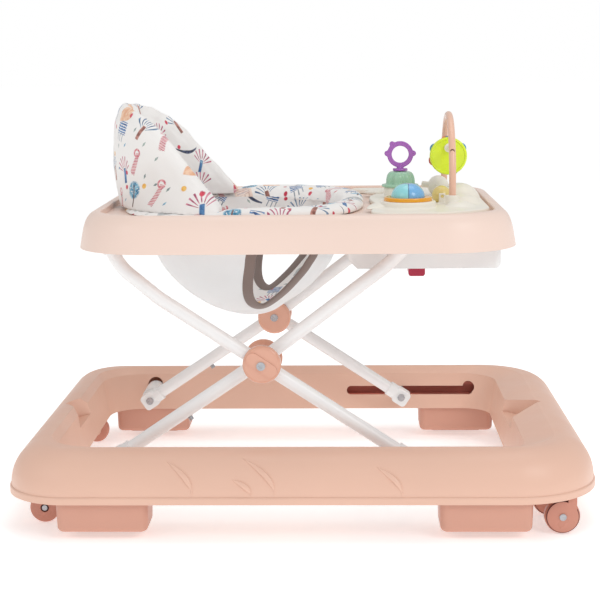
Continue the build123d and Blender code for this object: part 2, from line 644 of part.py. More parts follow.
with BuildPart() as height_lever:
    with BuildSketch(cross_plane(-82)) as pad:
        with BuildLine():
            Polyline((LEVER_X + 11, HOUSING_BOTTOM - 0.6), (LEVER_X - 11, HOUSING_BOTTOM - 0.6))
            Line((LEVER_X - 11, HOUSING_BOTTOM - 0.6), (LEVER_X - 11, HOUSING_BOTTOM - 9))
            ThreePointArc(
                (LEVER_X - 11, HOUSING_BOTTOM - 9),
                (LEVER_X - 10, HOUSING_BOTTOM - 11.4),
                (LEVER_X - 7.6, HOUSING_BOTTOM - 12.5),
            )
            Line((LEVER_X - 7.6, HOUSING_BOTTOM - 12.5), (LEVER_X + 7.6, HOUSING_BOTTOM - 12.5))
            ThreePointArc(
                (LEVER_X + 7.6, HOUSING_BOTTOM - 12.5),
                (LEVER_X + 10, HOUSING_BOTTOM - 11.4),
                (LEVER_X + 11, HOUSING_BOTTOM - 9),
            )
            Line((LEVER_X + 11, HOUSING_BOTTOM - 9), (LEVER_X + 11, HOUSING_BOTTOM - 0.6))
        make_face()
    extrude(amount=36)
    with Locations((LEVER_X, -100, HOUSING_BOTTOM - 1)):
        Box(20, 36, 6, align=(Align.CENTER, Align.CENTER, Align.MIN))
    with Locations((LEVER_X, -100, SPRING_BOTTOM - 6)):
        Box(32, 50, 6, align=(Align.CENTER, Align.CENTER, Align.MIN))
    with Locations((LEVER_X, -100, SPRING_BOTTOM)):
        Cylinder(3, 6, align=(Align.CENTER, Align.CENTER, Align.MIN))
keep(height_lever, "height_lever")


def coil(x, y, bottom, height, radius, wire, turns):
    """A round-wire compression spring standing on z = bottom."""
    with BuildPart() as spring:
        with BuildLine():
            Helix(pitch=height / turns, height=height, radius=radius, center=(x, y, bottom))
        with BuildSketch(Plane(origin=(x + radius, y, bottom), x_dir=(1, 0, 0), z_dir=(0, 1, 0))):
            Circle(wire)
        sweep(is_frenet=True)
    return spring


keep(coil(LEVER_X, -100, SPRING_BOTTOM + 1, 17, 5, 0.7, 5), "lever_spring")

# ---------------------------------------------------------------- seat
BACK_TOP = 539
BACK_THICKNESS = 27
BACK_CENTRE_X = -100
BACK_REACH = 160
BACK_HALF_WIDTH = 150

with BuildPart() as seat_back:
    with BuildSketch(Plane.XY.offset(TRAY_TOP + 0.6)):
        with Locations((BACK_CENTRE_X, 0)):
            Ellipse(BACK_REACH, BACK_HALF_WIDTH)
            Ellipse(BACK_REACH - BACK_THICKNESS, BACK_HALF_WIDTH - BACK_THICKNESS, mode=Mode.SUBTRACT)
    extrude(amount=BACK_TOP - TRAY_TOP)
    # side view: upright behind, and a wing line that runs down to the tray on both sides
    with BuildSketch(cross_plane(200)):
        with BuildLine():
            Line((-266, TRAY_TOP - 2), (-266, 470))
            Spline(
                (-266, 470),
                (-255, 518),
                (-228, BACK_TOP),
                (-186, 508),
                (-148, 474),
                (-118, 430),
                (-100, TRAY_TOP - 2),
                tangents=((0, 1), (0.3, -1)),
            )
            Line((-100, TRAY_TOP - 2), (-266, TRAY_TOP - 2))
        make_face()
    extrude(amount=400, mode=Mode.INTERSECT)
keep(seat_back, "seat_back")

with BuildPart() as seat_collar:
    extrude(outline(TRAY_PLATE_TOP + 0.3, -250, 77, 197, 80, 60), amount=7.5)
    fillet(seat_collar.faces().sort_by(Axis.Z)[-1].edges(), 3)
    extrude(seat_hole(TRAY_PLATE_TOP, -8), amount=20, mode=Mode.SUBTRACT)
keep(seat_collar, "seat_collar")

# sling levels from the seat hole down to the crotch: height, rear x, front x, half width, corner
SLING_LEVELS = (
    (393, -216, 48, 143, 105),
    (352, -212, 46, 138, 98),
    (318, -200, 40, 128, 90),
    (284, -172, 12, 108, 74),
    (258, -134, -22, 78, 48),
    (245, -104, -44, 46, 24),
)
SLING_SKIN = 4


def sling_block(skin):
    """The sling's form, moved in and up by its skin."""
    levels = []
    for z, rear, front, half, corner in SLING_LEVELS:
        levels.append(
            outline(z + skin, rear + skin, front - skin, half - skin, corner - skin, corner - skin)
        )
    loft(levels)


with BuildPart() as sling_inside:
    sling_block(SLING_SKIN)

with BuildPart() as seat_sling:
    sling_block(0)
    add(sling_inside.part, mode=Mode.SUBTRACT)
    # one leg hole on each side: upright behind, sloping forward in front
    for side in SIDES.values():
        y_low, y_high = span(side, 42, 170)
        with BuildSketch(cross_plane(y_high)) as hole:
            with BuildLine():
                Polyline((-60, 352), (-70, 300), (-68, 276), (-48, 276), (-16, 302), (16, 334), (24, 352), close=True)
            make_face()
            fillet(hole.vertices(), 7)
        extrude(amount=y_high - y_low, mode=Mode.SUBTRACT)
keep(seat_sling, "seat_sling")

# ---------------------------------------------------------------- toy panel and toys


def dome(x, y, z, base_radius, height):
    """A shallow round dome on the panel, a cap of one sphere."""
    radius = (base_radius**2 + height**2) / (2 * height)
    with Locations((x, y, z + height - radius)):
        Sphere(radius)


with BuildPart() as toy_panel:
    with BuildSketch(Plane.XY.offset(PANEL_BOTTOM)):
        with BuildLine():
            Line((112, 184), (160, 184))
            Spline((160, 184), (218, 160), (247, 106), tangents=((1, 0), (0, -1)))
            Line((247, 106), (247, -106))
            Spline((247, -106), (218, -160), (160, -184), tangents=((0, -1), (-1, 0)))
            Line((160, -184), (112, -184))
            # rear edge: shallow scallops round the front of the seat
            Spline(
                (112, -184),
                (90, -150),
                (98, -76),
                (92, 0),
                (98, 76),
                (90, 150),
                (112, 184),
                tangents=((-1, 0), (1, 0)),
            )
        make_face()
    extrude(amount=PANEL_TOP - PANEL_BOTTOM)
    fillet(toy_panel.faces().sort_by(Axis.Z)[-1].edges(), 1.5)
    with Locations((BUTTON_X, BUTTON_Y, PANEL_TOP - 1)):
        Cylinder(37, PEDESTAL_HEIGHT + 1, align=(Align.CENTER, Align.CENTER, Align.MIN))
    fillet(toy_panel.faces().sort_by(Axis.Z)[-1].edges(), 2)
    # a row of cloud humps along the front edge: place, radius and height
    for hump_x, hump_y, radius, height in CLOUD_HUMPS:
        dome(hump_x, hump_y, PANEL_TOP - 3, radius, height)
    split(bisect_by=Plane.XY.offset(PANEL_BOTTOM), keep=Keep.TOP)
    with Locations((KNOB_X, KNOB_Y, PANEL_TOP - 2)):
        Cylinder(22.5, 17.6, align=(Align.CENTER, Align.CENTER, Align.MIN))
    with Locations((ARCH_X, ARCH_FOOT_Y, PANEL_TOP - 2), (ARCH_X, -ARCH_FOOT_Y, PANEL_TOP - 2)):
        Cylinder(10, 15, align=(Align.CENTER, Align.CENTER, Align.MIN))
        Cylinder(ARCH_RADIUS, 16, align=(Align.CENTER, Align.CENTER, Align.MIN), mode=Mode.SUBTRACT)
    # well of the push button, cup of the rocking toy and cup of the ball
    with Locations((BUTTON_X, BUTTON_Y, PANEL_TOP + 0.5)):
        Cylinder(23, 12, align=(Align.CENTER, Align.CENTER, Align.MIN), mode=Mode.SUBTRACT)
    for toy, radius in ((ROCKER, ROCKER_RADIUS), (BALL, BALL_RADIUS)):
        x, y, z = toy
        with Locations(toy):
            Sphere(radius + 0.7, mode=Mode.SUBTRACT)
        # two ears hold the toy's pins
        ear_height = z + 4 - PANEL_TOP
        with Locations((x, y - radius - 4, PANEL_TOP - 1), (x, y + radius + 4, PANEL_TOP - 1)):
            Box(9, 4, ear_height + 1, align=(Align.CENTER, Align.CENTER, Align.MIN))
        bore_along_y(x, z, y - radius - 7, y + radius + 7, TOY_PIN_RADIUS + RUNNING)
    with Locations((KNOB_X, KNOB_Y, PANEL_TOP)):
        Cylinder(4 + RUNNING, 17, align=(Align.CENTER, Align.CENTER, Align.MIN), mode=Mode.SUBTRACT)
keep(toy_panel, "toy_panel")

with BuildPart() as toy_arch:
    with BuildLine(Plane(origin=(ARCH_X, 0, 0), x_dir=(0, 1, 0), z_dir=(1, 0, 0))) as bow:
        bow_z = ARCH_TOP_Z - ARCH_FOOT_Y
        Line((-ARCH_FOOT_Y, PANEL_TOP), (-ARCH_FOOT_Y, bow_z))
        ThreePointArc((-ARCH_FOOT_Y, bow_z), (0, ARCH_TOP_Z), (ARCH_FOOT_Y, bow_z))
        Line((ARCH_FOOT_Y, bow_z), (ARCH_FOOT_Y, PANEL_TOP))
    with BuildSketch(bow.line ^ 0):
        Circle(ARCH_RADIUS)
    sweep()
    bore_along_y(ARCH_X, SPINDLE_Z, -80, 80, 3)
keep(toy_arch, "toy_arch")

with BuildPart() as spinner_spindle:
    bar_along_y(ARCH_X, SPINDLE_Z, -72, 72, 3)
    bar_along_y(ARCH_X, SPINDLE_Z, -9, -5, 6)
    bar_along_y(ARCH_X, SPINDLE_Z, 12, 16, 6)
keep(spinner_spindle, "spinner_spindle")

SPINNER_DROP = 11.5
NUB_ANGLES = (30, 98, 152, 198, 290)
with BuildPart() as spinner_disc:
    bar_along_y(ARCH_X, SPINDLE_Z - SPINNER_DROP, -4, 3, 26)
    fillet(spinner_disc.edges().filter_by(GeomType.CIRCLE), 2.5)
    bore_along_y(ARCH_X, SPINDLE_Z, -5, 5, 3 + RUNNING)
keep(spinner_disc, "spinner_disc")

with BuildPart() as spinner_star:
    # five nubs that show round the disc's edge
    nub_places = [
        (ARCH_X + 20 * cos(radians(angle)), SPINDLE_Z - SPINNER_DROP + 20 * sin(radians(angle)))
        for angle in NUB_ANGLES
    ]
    with BuildSketch(cross_plane(8)):
        with Locations((ARCH_X, SPINDLE_Z - SPINNER_DROP)):
            Circle(20)
        with Locations(nub_places):
            Circle(8)
    extrude(amount=4.5)
    bore_along_y(ARCH_X, SPINDLE_Z, 3, 12, 3 + RUNNING)
keep(spinner_star, "spinner_star")

KNOB_BASE = PANEL_TOP + 16
with BuildPart() as green_knob:
    with Locations((KNOB_X, KNOB_Y, KNOB_BASE)):
        Cylinder(26, 3.4, align=(Align.CENTER, Align.CENTER, Align.MIN))
    with BuildSketch(Plane(origin=(KNOB_X, KNOB_Y, KNOB_BASE + 3), x_dir=(1, 0, 0), z_dir=(0, -1, 0))):
        with BuildLine():
            Line((0, 0), (20.5, 0))
            Line((20.5, 0), (20.5, 5))
            ThreePointArc((20.5, 5), (16.5, 15), (9, 19))
            Line((9, 19), (0, 19))
            Line((0, 19), (0, 0))
        make_face()
    revolve(axis=Axis((KNOB_X, KNOB_Y, 0), (0, 0, 1)))
    with Locations((KNOB_X, KNOB_Y, PANEL_TOP + 1)):
        Cylinder(4, 18, align=(Align.CENTER, Align.CENTER, Align.MIN))
keep(green_knob, "green_knob")

RING_Z = KNOB_BASE + 45
with BuildPart() as purple_ring:
    with Locations((KNOB_X, KNOB_Y, KNOB_BASE + 22)):
        Cylinder(10.5, 3.4, align=(Align.CENTER, Align.CENTER, Align.MIN))
        Cylinder(4.5, 9, align=(Align.CENTER, Align.CENTER, Align.MIN))
    # a flat ring with three small knobs on its rim
    with BuildSketch(cross_plane(KNOB_Y + 3.3)) as profile:
        with Locations((KNOB_X, RING_Z)):
            Circle(18.4)
        for angle in (4, 128, 176):
            with Locations((KNOB_X + 18.4 * cos(radians(angle)), RING_Z + 18.4 * sin(radians(angle)))):
                Circle(3.8)
        with Locations((KNOB_X, RING_Z)):
            Circle(11.8, mode=Mode.SUBTRACT)
    extrude(profile.sketch, amount=6.6)
keep(purple_ring, "purple_ring")

with BuildPart() as orange_ring:
    with Locations((BUTTON_X, BUTTON_Y, PANEL_TOP + PEDESTAL_HEIGHT + 0.2)):
        Cylinder(32, 4.8, align=(Align.CENTER, Align.CENTER, Align.MIN))
    fillet(orange_ring.faces().sort_by(Axis.Z)[-1].edges(), 2)
    with Locations((BUTTON_X, BUTTON_Y, PANEL_TOP + PEDESTAL_HEIGHT)):
        Cylinder(23, 8, align=(Align.CENTER, Align.CENTER, Align.MIN), mode=Mode.SUBTRACT)
keep(orange_ring, "orange_ring")

BUTTON_BOTTOM = PANEL_TOP + 9
with BuildPart() as push_dome:
    with BuildSketch(Plane(origin=(BUTTON_X, BUTTON_Y, BUTTON_BOTTOM), x_dir=(1, 0, 0), z_dir=(0, -1, 0))):
        with BuildLine():
            Line((0, 0), (22.4, 0))
            Line((22.4, 0), (22.4, 5))
            ThreePointArc((22.4, 5), (16.9, 15.8), (6, 21))
            Line((6, 21), (0, 21))
            Line((0, 21), (0, 0))
        make_face()
    revolve(axis=Axis((BUTTON_X, BUTTON_Y, 0), (0, 0, 1)))
keep(push_dome, "push_dome")

keep(coil(BUTTON_X, BUTTON_Y, PANEL_TOP + 1.1, 7.2, 9, 0.4, 3), "button_spring")


def pinned_ball(toy, radius):
    """A ball with a pin on each side that turns in the panel's ears."""
    x, y, z = toy
    reach = radius + 5.5
    with Locations(toy):
        Sphere(radius)
    bar_along_y(x, z, y - reach, y + reach, TOY_PIN_RADIUS)


with BuildPart() as ball_roller:
    pinned_ball(BALL, BALL_RADIUS)
keep(ball_roller, "ball_roller")

with BuildPart() as rocking_toy:
    pinned_ball(ROCKER, ROCKER_RADIUS)
    # a short handle that points back at the seat
    with BuildSketch(Plane(origin=ROCKER, x_dir=(0, 1, 0), z_dir=(-1, 0, 0.12))):
        Circle(4.5)
    extrude(amount=ROCKER_RADIUS + 9)
    fillet(rocking_toy.faces().sort_by(Axis.X)[0].edges(), 2)
keep(rocking_toy, "rocking_toy")
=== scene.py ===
"""Looks of the baby walker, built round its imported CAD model.

Metres. +X is the front (toy tray), +Y the left side, +Z up. The wheels stand on z = 0.
"""

import json
from math import atan2, cos, exp, pi, radians, sin, tau

import bmesh
import bpy
import numpy as np
from mathutils import Matrix, Vector

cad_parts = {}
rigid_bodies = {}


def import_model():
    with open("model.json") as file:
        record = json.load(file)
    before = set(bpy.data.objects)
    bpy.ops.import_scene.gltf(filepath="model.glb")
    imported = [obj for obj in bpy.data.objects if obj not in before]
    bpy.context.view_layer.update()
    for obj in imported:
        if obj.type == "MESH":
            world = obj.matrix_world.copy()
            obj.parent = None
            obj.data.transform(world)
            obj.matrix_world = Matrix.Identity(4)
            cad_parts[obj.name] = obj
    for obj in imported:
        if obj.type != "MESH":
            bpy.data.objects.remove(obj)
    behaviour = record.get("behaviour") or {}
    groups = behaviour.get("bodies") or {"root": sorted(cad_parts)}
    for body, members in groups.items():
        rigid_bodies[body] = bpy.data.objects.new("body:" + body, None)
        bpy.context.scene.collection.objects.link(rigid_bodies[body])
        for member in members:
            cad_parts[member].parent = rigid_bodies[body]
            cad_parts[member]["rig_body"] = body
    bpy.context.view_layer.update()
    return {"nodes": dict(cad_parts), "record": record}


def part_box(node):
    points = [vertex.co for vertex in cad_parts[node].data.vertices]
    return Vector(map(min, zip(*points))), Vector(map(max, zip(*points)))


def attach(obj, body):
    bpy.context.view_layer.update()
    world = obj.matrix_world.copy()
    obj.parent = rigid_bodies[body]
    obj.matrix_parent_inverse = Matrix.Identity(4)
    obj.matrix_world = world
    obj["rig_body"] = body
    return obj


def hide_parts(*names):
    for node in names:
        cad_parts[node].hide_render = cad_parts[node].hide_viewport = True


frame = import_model()
scene = bpy.context.scene
SIDES = {"left": 1, "right": -1}


# ------------------------------------------------------------------ node helpers
def linear(hex_colour):
    """A colour written as #rrggbb, in the linear values that shaders take."""
    parts = [int(hex_colour[i : i + 2], 16) / 255 for i in (1, 3, 5)]
    return tuple(p / 12.92 if p <= 0.04045 else ((p + 0.055) / 1.055) ** 2.4 for p in parts) + (1.0,)


def shade(colour, factor):
    """The same colour, lighter or darker."""
    return tuple(min(1.0, part * factor) for part in colour[:3]) + (1.0,)


class Field:
    """A number that varies over the surface, kept as the output of a node."""

    def __init__(self, tree, socket):
        self.tree = tree
        self.socket = socket

    def math(self, operation, *others):
        node = self.tree.nodes.new("ShaderNodeMath")
        node.operation = operation
        for slot, value in zip(node.inputs, (self, *others)):
            if isinstance(value, Field):
                self.tree.links.new(value.socket, slot)
            else:
                slot.default_value = value
        return Field(self.tree, node.outputs[0])

    def __add__(self, other):
        return self.math("ADD", other)

    def __sub__(self, other):
        return self.math("SUBTRACT", other)

    def __mul__(self, other):
        return self.math("MULTIPLY", other)

    def below(self, limit, soft):
        """1 where the number is under the limit, 0 over it, with an edge as wide as soft."""
        node = self.tree.nodes.new("ShaderNodeMapRange")
        node.interpolation_type = "SMOOTHSTEP"
        self.tree.links.new(self.socket, node.inputs["Value"])
        node.inputs["From Min"].default_value = limit - soft / 2
        node.inputs["From Max"].default_value = limit + soft / 2
        node.inputs["To Min"].default_value = 1
        node.inputs["To Max"].default_value = 0
        return Field(self.tree, node.outputs["Result"])

    def above(self, limit, soft):
        return self.below(limit, soft).math("MULTIPLY_ADD", -1.0, 1.0)

    def between(self, low, high, soft):
        return self.above(low, soft) * self.below(high, soft)

    def abs(self):
        return self.math("ABSOLUTE")

    def sin(self):
        return self.math("SINE")


class Finish:
    """One material: its node tree, with short calls for the textures that it is made of."""

    def __init__(self, name, **shader_values):
        self.material = bpy.data.materials.new(name)
        self.material.use_nodes = True
        self.tree = self.material.node_tree
        self.shader = self.tree.nodes["Principled BSDF"]
        for key, value in shader_values.items():
            self.shader.inputs[key.replace("_", " ")].default_value = value
        self.object_point = self.tree.nodes.new("ShaderNodeTexCoord").outputs["Object"]

    def parts(self, vector):
        node = self.tree.nodes.new("ShaderNodeSeparateXYZ")
        self.tree.links.new(vector, node.inputs[0])
        return [Field(self.tree, out) for out in node.outputs]

    def scaled(self, vector, scale):
        node = self.tree.nodes.new("ShaderNodeMapping")
        node.inputs["Scale"].default_value = scale
        self.tree.links.new(vector, node.inputs["Vector"])
        return node.outputs[0]

    def noise(self, scale, detail=2.0, vector=None, stretch=None):
        node = self.tree.nodes.new("ShaderNodeTexNoise")
        node.inputs["Scale"].default_value = scale
        node.inputs["Detail"].default_value = detail
        source = vector or self.object_point
        if stretch:
            source = self.scaled(source, stretch)
        self.tree.links.new(source, node.inputs["Vector"])
        return Field(self.tree, node.outputs["Fac"])

    def mix(self, factor, first, second):
        """A colour socket: the first colour where factor is 0, the second where it is 1."""
        node = self.tree.nodes.new("ShaderNodeMix")
        node.data_type = "RGBA"
        self.tree.links.new(factor.socket, node.inputs["Factor"])
        for slot, value in ((node.inputs["A"], first), (node.inputs["B"], second)):
            slot = next(s for s in node.inputs if s.name == slot.name and s.type == "RGBA")
            if isinstance(value, tuple):
                slot.default_value = value
            else:
                self.tree.links.new(value, slot)
        return next(out for out in node.outputs if out.type == "RGBA")

    def colour(self, socket):
        self.tree.links.new(socket, self.shader.inputs["Base Color"])

    def roughness(self, field, low, high):
        node = self.tree.nodes.new("ShaderNodeMapRange")
        self.tree.links.new(field.socket, node.inputs["Value"])
        node.inputs["From Min"].default_value = 0.3
        node.inputs["From Max"].default_value = 0.7
        node.inputs["To Min"].default_value = low
        node.inputs["To Max"].default_value = high
        self.tree.links.new(node.outputs["Result"], self.shader.inputs["Roughness"])

    def bump(self, field, distance, strength=1.0):
        node = self.tree.nodes.new("ShaderNodeBump")
        node.inputs["Strength"].default_value = strength
        node.inputs["Distance"].default_value = distance
        self.tree.links.new(field.socket, node.inputs["Height"])
        self.tree.links.new(node.outputs[0], self.shader.inputs["Normal"])


# ------------------------------------------------------------------ materials
def moulded(name, hex_colour, rough=0.38, coat=0.0, grain=0.00006):
    """Moulded plastic: a faint orange peel, slow colour drift and uneven gloss."""
    finish = Finish(name, Coat_Weight=coat, Coat_Roughness=0.12, IOR=1.48)
    base = linear(hex_colour)
    finish.colour(finish.mix(finish.noise(5, 3), shade(base, 0.95), shade(base, 1.04)))
    finish.roughness(finish.noise(22, 4), rough - 0.06, rough + 0.08)
    finish.bump(finish.noise(900, 3) + finish.noise(90, 2) * 0.6, grain, 0.5)
    return finish.material


def painted(name, hex_colour):
    """Powder-coated tube: fine stipple and a soft shine."""
    finish = Finish(name, Coat_Weight=0.35, Coat_Roughness=0.2)
    base = linear(hex_colour)
    finish.colour(finish.mix(finish.noise(14, 4), shade(base, 0.93), shade(base, 1.02)))
    finish.roughness(finish.noise(60, 3), 0.28, 0.42)
    finish.bump(finish.noise(1500, 2), 0.00008, 0.5)
    return finish.material


def zinc(name):
    """Bright plated steel with fine drawn lines."""
    finish = Finish(name, Metallic=1.0)
    lines = finish.noise(240, 3, stretch=(1, 12, 1))
    finish.colour(finish.mix(lines, linear("#8d8f94"), linear("#c9cacd")))
    finish.roughness(lines, 0.2, 0.36)
    finish.bump(lines, 0.00004, 0.4)
    return finish.material


def rubber(name, hex_colour):
    """Matt rubber with a dusty, worn surface."""
    finish = Finish(name)
    base = linear(hex_colour)
    finish.colour(finish.mix(finish.noise(40, 5), shade(base, 0.85), shade(base, 1.1)))
    finish.roughness(finish.noise(30, 4), 0.7, 0.9)
    finish.bump(finish.noise(700, 3), 0.00015, 0.6)
    return finish.material


def cloth_point(finish):
    """The cloth's own flat coordinates, in metres, stored on each soft mesh."""
    node = finish.tree.nodes.new("ShaderNodeAttribute")
    node.attribute_name = "cloth"
    return node.outputs["Vector"]


def weave(finish, point, pitch):
    """Crossing threads as a height: each pair of waves is one thread wide."""
    u, v, _ = finish.parts(point)
    across = (u * (tau / pitch)).sin()
    along = (v * (tau / pitch)).sin()
    return across * along + finish.noise(1 / pitch / 6, 2, vector=point) * 0.8


def woven(name, hex_colour, pitch=0.0012, sheen=0.25):
    """Plain woven cloth."""
    finish = Finish(name, Sheen_Weight=sheen, Sheen_Roughness=0.5)
    point = cloth_point(finish)
    base = linear(hex_colour)
    finish.colour(finish.mix(finish.noise(9, 5, vector=point), shade(base, 0.9), shade(base, 1.05)))
    finish.roughness(finish.noise(50, 3, vector=point), 0.75, 0.92)
    finish.bump(weave(finish, point, pitch), 0.00012, 0.5)
    return finish.material


class Motif:
    """A grid of scattered cells on the cloth: each cell has its own middle and its own random number."""

    def __init__(self, finish, point, pitch, shift):
        mapping = finish.tree.nodes.new("ShaderNodeMapping")
        mapping.inputs["Location"].default_value = (shift, shift * 0.7, 0)
        finish.tree.links.new(point, mapping.inputs["Vector"])
        cells = finish.tree.nodes.new("ShaderNodeTexVoronoi")
        cells.voronoi_dimensions = "2D"
        cells.inputs["Scale"].default_value = 1 / pitch
        cells.inputs["Randomness"].default_value = 0.55
        finish.tree.links.new(mapping.outputs[0], cells.inputs["Vector"])
        offset = finish.tree.nodes.new("ShaderNodeVectorMath")
        offset.operation = "SUBTRACT"
        finish.tree.links.new(mapping.outputs[0], offset.inputs[0])
        finish.tree.links.new(cells.outputs["Position"], offset.inputs[1])
        east, north, _ = finish.parts(offset.outputs[0])
        self.pick, lean, _ = finish.parts(cells.outputs["Color"])
        # each motif leans its own way
        turn = (lean - 0.5) * 0.9
        cosine, sine = turn.math("COSINE"), turn.math("SINE")
        self.x = east * cosine + north * sine
        self.y = north * cosine - east * sine
        self.radius = (self.x * self.x + self.y * self.y).math("SQRT")

    def chosen(self, low, high):
        return self.pick.between(low, high, 0.001)


def printed(name):
    """White cotton with a scattered watercolour print of trees, blocks, arches, leaves and drops."""
    finish = Finish(name, Sheen_Weight=0.2, Sheen_Roughness=0.5)
    point = cloth_point(finish)
    soft = 0.0012
    wash = finish.noise(160, 4, vector=point)
    strokes = finish.noise(420, 2, vector=point)
    colour = finish.mix(finish.noise(12, 3, vector=point), linear("#f1eeeb"), linear("#fbf9f7"))

    def lay(under, mask, dark, light, strength=1.0):
        """Watercolour over the cloth: two tones that follow the wash, fading at the edge."""
        ink = finish.mix(wash.above(0.5, 0.25), linear(dark), linear(light))
        return finish.mix(mask * wash.above(0.18, 0.2) * strength, under, ink)

    big = Motif(finish, point, 0.0405, 0.0)
    x, y, r = big.x, big.y, big.radius
    lean = x + y * 0.12

    # trees: a trunk and a fan of twigs
    angle = x.math("ARCTAN2", y + 0.004)
    twigs = (angle * 9.0).sin().abs().below(0.5, 0.3)
    fan = twigs * r.between(0.004, 0.018, soft) * angle.abs().below(1.15, 0.1)
    trunk = lean.abs().below(0.0028, soft) * y.between(-0.018, 0.002, soft)
    colour = lay(colour, big.chosen(0.0, 0.22) * fan * y.above(-0.002, soft), "#a8446a", "#dd8fa2")
    colour = lay(colour, big.chosen(0.0, 0.22) * trunk, "#2f5b93", "#5f93c4")
    # leafless shrubs in grey-blue
    colour = lay(colour, big.chosen(0.22, 0.34) * fan * y.above(-0.002, soft), "#3f5f86", "#8aa8c2")
    colour = lay(colour, big.chosen(0.22, 0.34) * trunk, "#8a5a50", "#c99084")
    # hatched blocks on thin legs
    block = x.abs().below(0.0095, soft) * y.between(-0.004, 0.013, soft)
    hatch = (y * (tau / 0.0034) + wash * 6.0).sin().above(-0.45, 0.5)
    stripes = (x * (tau / 0.0062)).sin().above(0.7, 0.3)
    legs = stripes * x.abs().below(0.009, soft) * y.between(-0.014, -0.004, soft)
    colour = lay(colour, big.chosen(0.34, 0.5) * block * hatch, "#33568c", "#6f98c6")
    colour = lay(colour, big.chosen(0.34, 0.5) * legs, "#7d8a96", "#b2bac2")
    # round-topped arches, peach and grey
    flat = y.math("MAXIMUM", 0.0)
    dome_radius = (x * x + flat * flat).math("SQRT")
    arch = dome_radius.below(0.0125, soft) * y.above(-0.015, soft)
    colour = lay(colour, big.chosen(0.5, 0.62) * arch, "#e79a5c", "#f7cba6", 0.8)
    colour = lay(colour, big.chosen(0.62, 0.7) * arch, "#8f9598", "#c3c8c9", 0.8)
    # tall pink-red spotted stems
    stem = (lean.abs() + y * 0.05).below(0.0034, soft) * y.between(-0.018, 0.012, soft)
    rungs = (y * (tau / 0.0021) + x * 900.0).sin().above(-0.35, 0.6)
    colour = lay(colour, big.chosen(0.7, 0.81) * stem * rungs, "#c0415c", "#dd8a90")
    crown = (x * x + (y - 0.012) * (y - 0.012)).math("SQRT").between(0.0035, 0.0062, soft)
    colour = lay(colour, big.chosen(0.7, 0.81) * crown * strokes.above(0.4, 0.2), "#c7566a", "#e9a0a4")
    # dark swooping strokes
    curl = (y + x * 0.4 - x * x * 16.0 + 0.003).abs() + x.abs() * 0.1
    swoop = curl.below(0.0028, soft)
    colour = lay(colour, big.chosen(0.81, 0.85) * swoop, "#2c3247", "#5a6480")
    # teal-blue foliage patches on a dark twig
    patch = r.below(0.0115, 0.003) * strokes.above(0.4, 0.15)
    twig = (x - y * 0.5).abs().below(0.0012, soft) * y.between(-0.02, 0.006, soft)
    colour = lay(colour, big.chosen(0.85, 0.97) * patch, "#2f7fa8", "#8ac4dc")
    colour = lay(colour, big.chosen(0.85, 0.97) * twig, "#5a3a36", "#86605a")
    # small hearts, leaves and drops between the motifs
    fine = Motif(finish, point, 0.019, 0.37)
    drop = fine.radius.math("MULTIPLY_ADD", 1.0, fine.y * 0.35)
    colour = lay(colour, fine.chosen(0.0, 0.18) * drop.below(0.0026, soft), "#c22847", "#dd4f62")
    colour = lay(colour, fine.chosen(0.18, 0.24) * drop.below(0.003, soft), "#e9a23c", "#f6c96f")
    leaf = (fine.x * 0.7 + fine.y * 0.7).abs() * 2.2 + (fine.x - fine.y).abs() * 0.6
    colour = lay(colour, fine.chosen(0.24, 0.31) * leaf.below(0.0036, soft), "#7c8b8c", "#b7c6bd")
    colour = lay(colour, fine.chosen(0.31, 0.35) * leaf.below(0.003, soft), "#4f8fb3", "#93c3d6")

    finish.colour(colour)
    finish.roughness(finish.noise(50, 3, vector=point), 0.75, 0.92)
    finish.bump(weave(finish, point, 0.0009), 0.0001, 0.45)
    return finish.material


def two_tone(name, first, second, middle):
    """A toy dome whose two halves differ, with fine seams between its segments."""
    finish = Finish(name, Coat_Weight=0.5, Coat_Roughness=0.1)
    x, y, _ = finish.parts(finish.object_point)
    x = x - middle[0]
    y = y - middle[1]
    halves = finish.mix(x.above(0.0, 0.0005), linear(first), linear(second))
    seam = x.abs().math("MINIMUM", y.abs()).below(0.0007, 0.0005)
    finish.colour(finish.mix(seam, halves, shade(linear(second), 0.45)))
    finish.roughness(finish.noise(30, 3), 0.2, 0.32)
    finish.bump(finish.noise(300, 2), 0.00004, 0.4)
    return finish.material


def nub_colours(name, middle):
    """The spinner's star: each nub has its own colour round the middle."""
    finish = Finish(name, Coat_Weight=0.5, Coat_Roughness=0.12)
    x, _, z = finish.parts(finish.object_point)
    turn = (z - middle[2]).math("ARCTAN2", x - middle[0])
    colour = finish.mix(turn.above(-2.2, 0.02), linear("#d2402f"), linear("#7cc07a"))
    for start, tone in ((-0.4, "#4b9ccb"), (1.2, "#8696ab"), (1.72, "#ea8a52"), (2.2, "#4b9ccb")):
        colour = finish.mix(turn.above(start, 0.02), colour, linear(tone))
    finish.colour(colour)
    finish.roughness(finish.noise(30, 3), 0.25, 0.38)
    finish.bump(finish.noise(300, 2), 0.00004, 0.4)
    return finish.material


button_low, button_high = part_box("push_dome")
button_middle = (button_low + button_high) / 2
spinner_low, spinner_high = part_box("spinner_disc")
spinner_middle = (spinner_low + spinner_high) / 2

